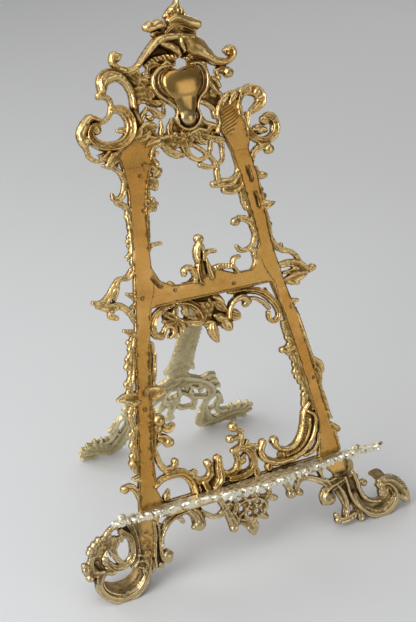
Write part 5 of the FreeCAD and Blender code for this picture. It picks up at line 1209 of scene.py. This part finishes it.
def shelf():
    """Shelf with a serpentine edge of overlapping leaves and a flange below."""
    us = np.arange(SHELF_ENDS[0] - 3, SHELF_ENDS[1] + 3, CELL)
    ws = np.arange(1.5, SHELF_DEPTH + SHELF_BULGE + 4, CELL)
    vs = np.arange(55.0, SHELF_LEVEL + 4, CELL)
    plan_u, plan_w = np.meshgrid(us, ws, indexing="ij")
    reach = SHELF_DEPTH + SHELF_BULGE * np.exp(-((plan_u - SHELF_CREST) / SHELF_SPREAD) ** 2) - 0.4
    to_left, to_right = plan_u - SHELF_ENDS[0], SHELF_ENDS[1] - plan_u
    reach = np.minimum(reach, np.minimum(8.5 + 2.4 * np.clip(to_left, 0, None) ** 0.75,
                                         11.0 + 1.3 * np.clip(to_right, 0, None) ** 0.75))
    back = 3.0 + 5.0 * np.exp(-to_left / 7) + 5.0 * np.exp(-to_right / 16)
    wander = plan_u + 3 * np.sin(plan_u / 17) + 1.5 * np.sin(plan_u / 7.1)
    scallop = np.abs(np.sin(math.pi * wander / LEAF_LONG))
    small = np.abs(np.sin(math.pi * wander / 2.9 + 0.7))
    noise = lumps(plan_u.shape, 1.1 / CELL, SEEDS["shelf"])
    fine = lumps(plan_u.shape, 0.55 / CELL, SEEDS["shelf_fine"])
    inset = reach - 1.6 + 1.1 * scallop ** 0.7 + 0.2 * small + 0.5 * noise - plan_w
    drop = np.clip(SHELF_LEVEL - 1.5 - vs, 0, 9)[None, :, None]
    slanting = np.abs(np.sin(math.pi * (wander[:, None] + 0.9 * drop) / LEAF_LONG))
    edge = np.maximum(np.maximum(-inset, back - plan_w), np.maximum(-to_left, -to_right))
    inner = np.clip(inset, 0, None)
    grain_lines = np.sin(2 * math.pi * (plan_w * 0.8 + 0.10 * plan_u + 0.7 * noise) / 2.7)
    leaf_veins = np.sin(2 * math.pi * (wander + 0.9 * plan_w) / 2.6)
    leaves = np.abs(np.sin(math.pi * (wander + 0.8 * inner) / LEAF_LONG)) ** 0.6
    near_rim = np.exp(-(inner / 11.0) ** 2)
    top = (SHELF_LEVEL - 1.0 + near_rim * (0.5 * leaves + 0.16 * leaf_veins * leaves + 0.42 * noise)
           + (1 - near_rim) * (0.22 * grain_lines + 0.22 * noise) + 0.14 * fine
           - 1.6 * np.exp(-inner))
    droop = (3.6 + 0.7 * noise) * np.exp(-(inner / 3.0) ** 2) * (0.6 + 0.4 * scallop)
    bottom = SHELF_LEVEL - 3.9 - droop - 0.3 * noise * near_rim
    row_step = np.where(drop > 2.4, 0.5 * LEAF_LONG, 0.0)
    shifted = wander[:, None] + 0.9 * drop + row_step
    scales = np.abs(np.sin(math.pi * shifted / (0.62 * LEAF_LONG))) ** 0.6
    hanging = np.clip(drop, 0, 1)
    undercut = (edge[:, None] + 1.1 * (scallop[:, None] ** 0.7 - slanting ** 0.7) * hanging
                + 0.22 * drop + 0.75 * (1 - scales) * hanging + 0.5 * (drop > 2.4))
    level = vs[None, :, None]
    shell = np.maximum(undercut, np.maximum(level - top[:, None], bottom[:, None] - level))
    ripple = 0.05 * lumps((len(us), len(vs)), 4.0, SEEDS["flange"])[..., None]
    flange_u = np.maximum(FLANGE_U[0] - us, us - FLANGE_U[1])[:, None, None]
    flange_v = np.maximum(FLANGE_V[0] - vs, vs - FLANGE_V[1])[None, :, None]
    flange_w = np.maximum(FLANGE_W[0] - ws[None, None], ws[None, None] - FLANGE_W[1] - ripple)
    flange = np.maximum(np.maximum(flange_u, flange_v), flange_w)
    field = smooth_union(shell, flange, 1.2)
    for u, v, w, long in SHELF_BUDS:
        bud = np.sqrt(((us[:, None, None] - u) / long) ** 2 + (level - v) ** 2
                      + (ws[None, None] - w) ** 2)
        field = smooth_union(field, bud - 2.0, 1.0)
    places, faces = isosurface(field, (us[0], vs[0], ws[0]), CELL)
    plan = Relief((us[0], ws[0]), (us[-1] + CELL, ws[-1] + CELL), CELL)
    contrast = np.where(edge < 0, top, SHELF_LEVEL - 5)
    contrast = np.where(edge < 0.3, (contrast - blurred(contrast, 2.0 / CELL)) / 1.3, 0.1)
    plan.us, plan.vs = us, ws
    raised = sampled(contrast, plan, places[:, 0], places[:, 2])
    # Painted shade: the tone mark drops below the shelf's top, which darkens its hanging edge and underside.
    below = np.clip(SHELF_LEVEL - 3.5 - places[:, 1], 0, 5)
    on_flange = np.clip((62.5 - places[:, 1]) / 1.5, 0, 1) * (places[:, 2] < 7)
    marks = {"raised": raised - WALL_SHADE * below, "polish": on_flange}
    return mesh_piece("shelf_cast", places, faces, front_to_world(places), marks)


# ---------------------------------------------------------------- screws

SHELF_SCREWS = [(-56, 61, 20), (-16, 61, 75), (24, 61, 130), (62, 61, 50)]
BRACKET_SCREWS = [(-18.4, 230, 10), (-18.4, 237.4, 100), (18.4, 230, 60), (18.4, 237.4, 150)]
SCREW_CELL = 0.2        # edge of the cells of the screws
SCREW_R = 1.5
HEAD_R = 2.6
HEAD_HIGH = 1.4
SLOT_HALF = 0.35        # half width of the slot
SLOT_FLOOR = 0.75       # height of its floor over the seat


def slotted_screws(name, places, tip, seat, outward):
    """Round-headed slotted screws in one mesh. Their heads face the outward side of the plane."""
    side = np.arange(-HEAD_R - 1, HEAD_R + 1, SCREW_CELL)
    heights = np.arange(-abs(seat - tip) - 0.6, HEAD_HIGH + 0.8, SCREW_CELL)
    x, y, z = np.meshgrid(side, side, heights, indexing="ij")
    r = np.hypot(x, y)
    ball = (HEAD_R ** 2 + HEAD_HIGH ** 2) / (2 * HEAD_HIGH)
    head = np.maximum(np.sqrt(r ** 2 + (z - HEAD_HIGH + ball) ** 2) - ball, -z)
    head = np.maximum(head, -np.maximum(np.abs(y) - SLOT_HALF, SLOT_FLOOR - z))
    shank = np.maximum(r - SCREW_R, np.maximum(z - 0.3, -abs(seat - tip) - z))
    points, faces = isosurface(np.minimum(head, shank), (side[0], side[0], heights[0]), SCREW_CELL)
    all_places, all_faces, depth = [], [], []
    for index, (u, v, turn) in enumerate(places):
        angle = math.radians(turn)
        turned_u = points[:, 0] * math.cos(angle) - points[:, 1] * math.sin(angle)
        turned_v = points[:, 0] * math.sin(angle) + points[:, 1] * math.cos(angle)
        standing = seat + outward * points[:, 2]
        all_places.append(np.stack([u + turned_u, v + outward * turned_v, standing], 1))
        all_faces.append([face + index * len(points) for face in faces])
        # Tone mark: low in the slot and down the shank, which the brass paints dark as patina and painted shade,
        # and high on the head's dome, which it paints bright as wear and a painted highlight.
        depth.append(np.clip(points[:, 2] - 0.8, -1, 0.4))
    places = np.concatenate(all_places)
    faces = [np.concatenate([group[k] for group in all_faces]) for k in range(len(faces))]
    marks = {"raised": np.concatenate(depth), "polish": np.zeros(len(places))}
    return mesh_piece(name + "_turned", places, faces, front_to_world(places), marks)


# ---------------------------------------------------------------- rear leg

LEG_THICK = 4.0
KNUCKLE_R = 6.0
KNUCKLE_HALF = 10.7
HEEL_REACH = 14.0
HEEL_HALF = 8.0
PIN_BORE_R = 2.55
PLATE_BACK = -6.2       # w of the hinge bracket's back, where the heel stops
ANKLE = 44              # distance from the middle at which the branches turn into feet
REAR_FOOT_LONG = 50
LEFT_SPREAD = -13       # change in reach of the left rear foot, which ends nearer the middle


def leg_relief():
    """The rear leg as a relief over its own plane."""
    relief = Relief((-102, -3), (102, LEG_LENGTH + HEEL_REACH + 3))
    relief.stroke([(0, LEG_LENGTH, 18), (0, 200, 19), (0, 170, 20), (0, 145, 21), (0, 126, 23),
                   (0, 112, 16)], flat, 0.8, lift=1.2)
    relief.stroke([(0, 118, 15), (0, 108, 18), (1, 100, 28)], flat, 0.8, lift=1.2)
    for side in (-1, 1):
        spread = LEFT_SPREAD if side < 0 else 0
        for section, rise, stroke in LEG_BRANCHES:
            moved = [(side * (u + spread * max(u - ANKLE, 0) / REAR_FOOT_LONG), v, width)
                     for u, v, width in stroke]
            relief.stroke(moved, section, rise)
        for section, rise, stroke in LEG_SCROLLWORK:
            relief.stroke([(side * u, v, width) for u, v, width in stroke], section, rise)
        for u, v, width in LEG_SERRATIONS:
            relief.bead(side * u, v, width, 0.8)
    relief.stroke([(2, 68, 10), (3, 58, 8), (4, 46, 5), (4, 38, 7)], gouge)
    relief.flower(2, 67, 8, 6)
    relief.flower(4, 38, 5, 5)
    weathered(relief, SEEDS["leg"], 0.11, 0.06)
    return relief


def rear_leg():
    """Folding leg: relief on its front, shallower relief behind, with its knuckle and stop heel."""
    relief = leg_relief()
    ws = np.arange(-8.0, 8.0, relief.cell)
    u, v, w = relief.us[:, None, None], relief.vs[None, :, None], ws[None, None]
    top = relief.top[..., None]
    behind = LEG_THICK / 2 + 0.35 * np.clip(top - 1.2, 0, 3)
    slab = np.maximum(np.minimum(w - 0.8 * top - 0.6, FAR), -behind - w)
    field = np.maximum(relief.edge[..., None], slab)
    up, neck = v - LEG_LENGTH, LEG_LENGTH - KNUCKLE_R - 4
    heel = np.maximum(np.maximum(np.abs(u) - HEEL_HALF, np.abs(w) - LEG_THICK / 2),
                      np.maximum(LEG_LENGTH - 2 - v, up - HEEL_REACH))
    knuckle = np.maximum(np.hypot(up, w) - KNUCKLE_R, np.abs(u) - KNUCKLE_HALF)
    field = smooth_union(np.minimum(field, heel), knuckle, 1.0)
    bore = PIN_BORE_R - np.hypot(up, w)
    turn = LEAN + LEG_TILT
    front_w = HINGE_W + up * math.sin(turn) + w * math.cos(turn)
    near_hinge = np.where(v > LEG_LENGTH - 30, front_w - PLATE_BACK, -NOTHING)
    field = np.maximum(np.maximum(field, bore), near_hinge)
    field = np.maximum(field, np.maximum(np.abs(u) - KNUCKLE_HALF, neck - v) * (v > neck)
                       - NOTHING * (v <= neck))
    floor = HINGE_Z + up * math.cos(LEG_TILT) - w * math.sin(LEG_TILT)
    field = np.maximum(field, -floor)
    places, faces = isosurface(field, (relief.us[0], relief.vs[0], ws[0]), relief.cell)
    raised = sampled(height_contrast(relief, 0.0), relief, places[:, 0], places[:, 1])
    level = sampled(np.maximum(relief.top, 0.0), relief, places[:, 0], places[:, 1])
    from_faces = np.minimum(0.8 * level + 0.6 - places[:, 2], places[:, 2] + LEG_THICK / 2)
    raised = raised * (1 - np.clip(from_faces / 0.8 - 0.3, 0, 1))
    marks = {"raised": raised, "polish": np.zeros(len(places))}
    return mesh_piece("rear_leg_cast", places, faces, leg_to_world(places), marks)


# ---------------------------------------------------------------- materials

FLOOR_GLOW = (0.2, 0.9)         # distances over which the floor's painted pool of light round the object fades into its far tone
# Painted light: the near tone is a painted pool of light round the object.
FLOOR_NEAR_PAINTED_LIGHT = (0.665, 0.665, 0.66)
FLOOR_FAR = (0.61, 0.61, 0.60)


class Nodes:
    """Short way to add and join shader nodes."""

    def __init__(self, name):
        self.material = bpy.data.materials.new(name)
        self.material.use_nodes = True
        self.tree = self.material.node_tree
        self.shader = self.tree.nodes["Principled BSDF"]

    def add(self, kind, inputs=None, **settings):
        node = self.tree.nodes.new("ShaderNode" + kind)
        for key, value in settings.items():
            setattr(node, key, value)
        for key, value in (inputs or {}).items():
            self.put(node, key, value)
        return node

    def put(self, node, key, value):
        if isinstance(value, bpy.types.NodeSocket):
            self.tree.links.new(value, node.inputs[key])
        else:
            node.inputs[key].default_value = value

    def math(self, operation, *values):
        return self.add("Math", dict(enumerate(values)), operation=operation).outputs[0]

    def attribute(self, name):
        return self.add("Attribute", attribute_name=name).outputs["Fac"]

    def place(self, turn, scale):
        """Object coordinates, turned about X and stretched."""
        spot = self.add("TexCoord").outputs["Object"]
        inputs = {"Vector": spot, "Rotation": (turn, 0, 0), "Scale": scale}
        return self.add("Mapping", inputs).outputs[0]

    def noise(self, where, scale, detail=3.0, rough=0.55):
        inputs = {"Vector": where, "Scale": scale, "Detail": detail, "Roughness": rough}
        return self.add("TexNoise", inputs).outputs["Fac"]

    def blend(self, share, first, second):
        """Mix two colours."""
        node = self.add("Mix", data_type="RGBA")
        self.put(node, 0, share)
        for key, value in ((6, first), (7, second)):
            self.put(node, key, (*value, 1) if isinstance(value, tuple) else value)
        return node.outputs[2]

    def spread(self, value, low, high, first=0.0, last=1.0):
        """Map a value from one range to another, held at the ends."""
        inputs = {"Value": value, "From Min": low, "From Max": high,
                  "To Min": first, "To Max": last}
        return self.add("MapRange", inputs).outputs[0]


def brass(name, bright, mid, dark, flat_tone=None, rough=(0.22, 0.5), turn=None, sculpted=True,
          grime=0.0):
    """Old brass: bright with wear and a painted highlight where it is high, patinated and painted with shade in
    its hollows, brushed on polished flats.
    """
    n = Nodes(name)
    turn = LEAN if turn is None else turn
    even = n.place(0, (1, 1, 1))
    streaks = n.noise(n.place(turn, (1100, 1100, 28)), 1.0, 4.0, 0.6)
    cloud = n.noise(even, 42.0, 3.0)
    speck = n.noise(even, 420.0, 5.0, 0.65)
    grain = n.noise(even, 1500.0, 3.0, 0.6)
    raised = n.attribute("raised") if sculpted else 0.0
    uneven = n.math("ADD", n.math("MULTIPLY_ADD", speck, 0.55, -0.275),
                    n.math("MULTIPLY_ADD", cloud, 0.5, -0.25))
    # Painted light: the height mark sets the tone, so high places turn bright as wear with a painted highlight,
    # and hollows turn dark as patina with painted shade.
    wear_and_painted_light = n.math("ADD", n.math("ADD", raised, uneven), -grime)
    hollow = n.spread(wear_and_painted_light, 0.02, -0.42)
    rubbed_and_highlit = n.spread(wear_and_painted_light, 0.0, 0.38)
    tone = n.blend(hollow, n.blend(rubbed_and_highlit, mid, bright), dark)
    gritty = n.math("ADD", wear_and_painted_light, n.math("MULTIPLY", speck, 0.2))
    roughness = n.spread(gritty, -0.3, 0.4, rough[1], rough[0])
    height = n.math("MULTIPLY_ADD", grain, 0.35, n.math("MULTIPLY", speck, 0.65))
    if flat_tone:
        polish = n.spread(n.attribute("polish"), 0.25, 0.85)
        mottled = n.math("ADD", n.math("MULTIPLY", cloud, 0.8), n.math("MULTIPLY", speck, 0.2))
        stain = n.spread(mottled, 0.32, 0.66)
        deep_tone = tuple(0.62 * part for part in flat_tone)
        plate_tone = n.blend(stain, deep_tone, flat_tone)
        pale_tone = tuple(0.5 * (a + b) for a, b in zip(flat_tone, bright))
        pale = n.spread(n.noise(even, 26.0, 2.0), 0.45, 0.7, 0.0, 0.5)
        plate_tone = n.blend(pale, plate_tone, pale_tone)
        olive_tone = (0.86 * flat_tone[0], 1.08 * flat_tone[1], 1.5 * flat_tone[2])
        olive = n.spread(n.noise(even, 11.0, 2.0), 0.45, 0.62, 0.0, 0.6)
        plate_tone = n.blend(olive, plate_tone, olive_tone)
        plate_tone = n.blend(n.spread(streaks, 0.35, 0.75, 0.0, 0.26), plate_tone, bright)
        blotch = n.noise(n.place(turn, (55, 55, 30)), 1.0, 5.0, 0.6)
        plate_tone = n.blend(n.spread(blotch, 0.56, 0.74, 0.0, 0.5), plate_tone, mid)
        # Plates turn dark where they sink into pits, slots and down walls: patina with painted shade.
        plate_tone = n.blend(n.spread(wear_and_painted_light, -0.35, -0.8), plate_tone, dark)
        tone = n.blend(polish, tone, plate_tone)
        brushed = n.math("MULTIPLY_ADD", streaks, 0.16, 0.15)
        roughness = n.math("ADD", n.math("MULTIPLY", roughness, n.math("SUBTRACT", 1.0, polish)),
                           n.math("MULTIPLY", brushed, polish))
        smooth_height = n.math("MULTIPLY_ADD", streaks, 0.10, n.math("MULTIPLY", speck, 0.04))
        height = n.math("ADD", n.math("MULTIPLY", height, n.math("SUBTRACT", 1.0, polish)),
                        n.math("MULTIPLY", smooth_height, polish))
    bump = n.add("Bump", {"Height": height, "Distance": BUMP_DEPTH, "Strength": 0.9})
    n.put(n.shader, "Base Color", tone)
    n.put(n.shader, "Metallic", 1.0)
    n.put(n.shader, "Roughness", roughness)
    n.put(n.shader, "Normal", bump.outputs[0])
    return n.material


def floor_material():
    """Pale matt floor with a painted pool of light round the object."""
    n = Nodes("pale_floor")
    place = n.add("TexCoord").outputs["Object"]
    distance = n.add("VectorMath", {0: place}, operation="LENGTH").outputs["Value"]
    tone = n.blend(n.spread(distance, FLOOR_GLOW[0], FLOOR_GLOW[1]), FLOOR_NEAR_PAINTED_LIGHT, FLOOR_FAR)
    n.put(n.shader, "Base Color", tone)
    n.put(n.shader, "Roughness", 0.55)
    return n.material


# Each brass has the tones of its high places, its middle heights and its hollows. The high tone is wear with a
# painted highlight, the hollow tone patina with painted shade.
FRAME_BRASS = brass("frame_brass_old", (0.70, 0.495, 0.21), (0.36, 0.205, 0.054),
                    (0.075, 0.041, 0.013), flat_tone=(0.385, 0.176, 0.028))
CARTOUCHE_BRASS = brass("cartouche_brass_polished", (0.66, 0.48, 0.22), (0.34, 0.20, 0.07),
                        (0.07, 0.04, 0.015), flat_tone=(0.52, 0.30, 0.08))
FOOT_BRASS = brass("foot_brass_dark", (0.62, 0.48, 0.26), (0.32, 0.215, 0.085),
                   (0.07, 0.047, 0.022), flat_tone=(0.56, 0.29, 0.065), grime=0.03)
SHELF_BRASS = brass("shelf_brass_pale", (0.92, 0.87, 0.70), (0.72, 0.65, 0.46),
                    (0.24, 0.19, 0.11), flat_tone=(0.55, 0.30, 0.075), rough=(0.36, 0.62))
LEG_BRASS = brass("leg_brass_pale", (0.82, 0.74, 0.49), (0.58, 0.48, 0.25),
                  (0.17, 0.13, 0.06), rough=(0.36, 0.6), turn=-LEG_TILT)
HARDWARE_TONES = ((0.74, 0.55, 0.26), (0.42, 0.27, 0.09), (0.06, 0.035, 0.012))
HARDWARE_BRASS = brass("hardware_brass_screws", *HARDWARE_TONES)
HARDWARE_PLAIN = brass("hardware_brass_plain", *HARDWARE_TONES, sculpted=False)


# ---------------------------------------------------------------- the object

def fit_out(piece, node, body, material):
    """Give a piece its body, its CAD node and its material."""
    piece.data.materials.append(material)
    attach(piece, body)
    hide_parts(node)


FRONT = front_relief()
CONTRAST = height_contrast(FRONT)
for slot, material, nodes in (
        ("frame_brass", FRAME_BRASS,
         ("crest", "left_stile", "right_stile", "crossrail", "lower_rail")),
        ("foot_brass", FOOT_BRASS, ("apron", "left_foot", "right_foot"))):
    for node in nodes:
        fit_out(casting(FRONT, CONTRAST, node), node, "front_frame", material)
fit_out(cartouche(), "cartouche", "front_frame", CARTOUCHE_BRASS)
fit_out(shelf(), "shelf", "front_frame", SHELF_BRASS)
for name, places, tip, seat, outward in (("shelf_screws", SHELF_SCREWS, -3.0, 6.0, 1),
                                         ("bracket_screws", BRACKET_SCREWS, 0.0, -6.0, -1)):
    fit_out(slotted_screws(name, places, tip, seat, outward), name, "front_frame",
            HARDWARE_BRASS)
fit_out(rear_leg(), "rear_leg", "leg", LEG_BRASS)
for node in ("hinge_bracket", "hinge_pin"):
    mesh = frame["nodes"][node].data
    mesh.materials.clear()
    mesh.materials.append(HARDWARE_PLAIN)


# ---------------------------------------------------------------- floor, light and camera

def floor():
    """Large round pale floor."""
    rings, spokes = [0.0, 0.3, 0.8, 1.6, 3.0, 6.0], 48
    mesh = bpy.data.meshes.new("studio_floor")
    points = [(0.0, 0.0, 0.0)]
    points += [(r * math.cos(2 * math.pi * k / spokes), r * math.sin(2 * math.pi * k / spokes), 0.0)
               for r in rings[1:] for k in range(spokes)]
    faces = [(0, 1 + k, 1 + (k + 1) % spokes) for k in range(spokes)]
    for ring in range(len(rings) - 2):
        start = 1 + ring * spokes
        faces += [(start + k, start + spokes + k, start + spokes + (k + 1) % spokes,
                   start + (k + 1) % spokes)
                  for k in range(spokes)]
    mesh.from_pydata(points, [], faces)
    piece = bpy.data.objects.new("studio_floor", mesh)
    bpy.context.scene.collection.objects.link(piece)
    mesh.materials.append(floor_material())


def soft_light(name, place, target, size, energy, colour):
    """Large rectangular area light aimed at a place."""
    light = bpy.data.lights.new(name, "AREA")
    light.shape = "RECTANGLE"
    light.size, light.size_y = size
    light.energy = energy
    light.color = colour
    lamp = bpy.data.objects.new(name, light)
    lamp.location = place
    lamp.rotation_euler = (Vector(target) - Vector(place)).to_track_quat("-Z", "Y").to_euler()
    bpy.context.scene.collection.objects.link(lamp)


floor()
MIDDLE = (0.0, 0.0, 0.2)
# Area lights: name, place, target, size, watts and colour
for values in (
        ("window_left", (-1.5, -0.35, 1.0), MIDDLE, (1.2, 1.4), 22.0, (0.93, 0.96, 1.0)),
        ("window_top", (-0.3, -0.2, 1.9), MIDDLE, (1.6, 1.6), 6.0, (1.0, 0.99, 0.97)),
        ("fill_right", (1.0, -2.0, 0.55), MIDDLE, (1.4, 1.5), 7.0, (1.0, 0.96, 0.90)),
        ("wall_right", (1.5, 1.6, 1.3), (0.8, 1.2, 0.0), (1.2, 0.9), 4.0, (1.0, 0.98, 0.95)),
        ("rim_back", (-1.25, 1.35, 0.75), MIDDLE, (0.9, 1.3), 10.0, (0.98, 0.98, 1.0))):
    soft_light(*values)

WORLD = bpy.data.worlds.new("studio_world")
WORLD.use_nodes = True
bpy.context.scene.world = WORLD
bpy.context.scene.view_settings.view_transform = "Standard"
tree = WORLD.node_tree
# Bright wall and window behind and to the left, dim room in front and to the right
direction = tree.nodes.new("ShaderNodeTexCoord").outputs["Generated"]
toward = tree.nodes.new("ShaderNodeVectorMath")
toward.operation = "DOT_PRODUCT"
toward.inputs[1].default_value = (-0.70, 0.62, 0.36)
ramp = tree.nodes.new("ShaderNodeMapRange")
for label, value in (("From Min", -0.9), ("From Max", 1.0), ("To Min", 0.13), ("To Max", 0.66)):
    ramp.inputs[label].default_value = value
tree.links.new(direction, toward.inputs[0])
tree.links.new(toward.outputs["Value"], ramp.inputs["Value"])
tree.links.new(ramp.outputs[0], tree.nodes["Background"].inputs["Strength"])
tree.nodes["Background"].inputs["Color"].default_value = (0.97, 0.98, 1.0, 1)

LENS = bpy.data.cameras.new("camera")
LENS.lens = 63.67
LENS.sensor_width = 36.0
CAMERA = bpy.data.objects.new("camera", LENS)
CAMERA.location = (-0.35669, -0.74717, 0.60541)
CAMERA.rotation_euler = (math.radians(63.1979), math.radians(0.7340), math.radians(-25.9456))
bpy.context.scene.collection.objects.link(CAMERA)
bpy.context.scene.camera = CAMERA
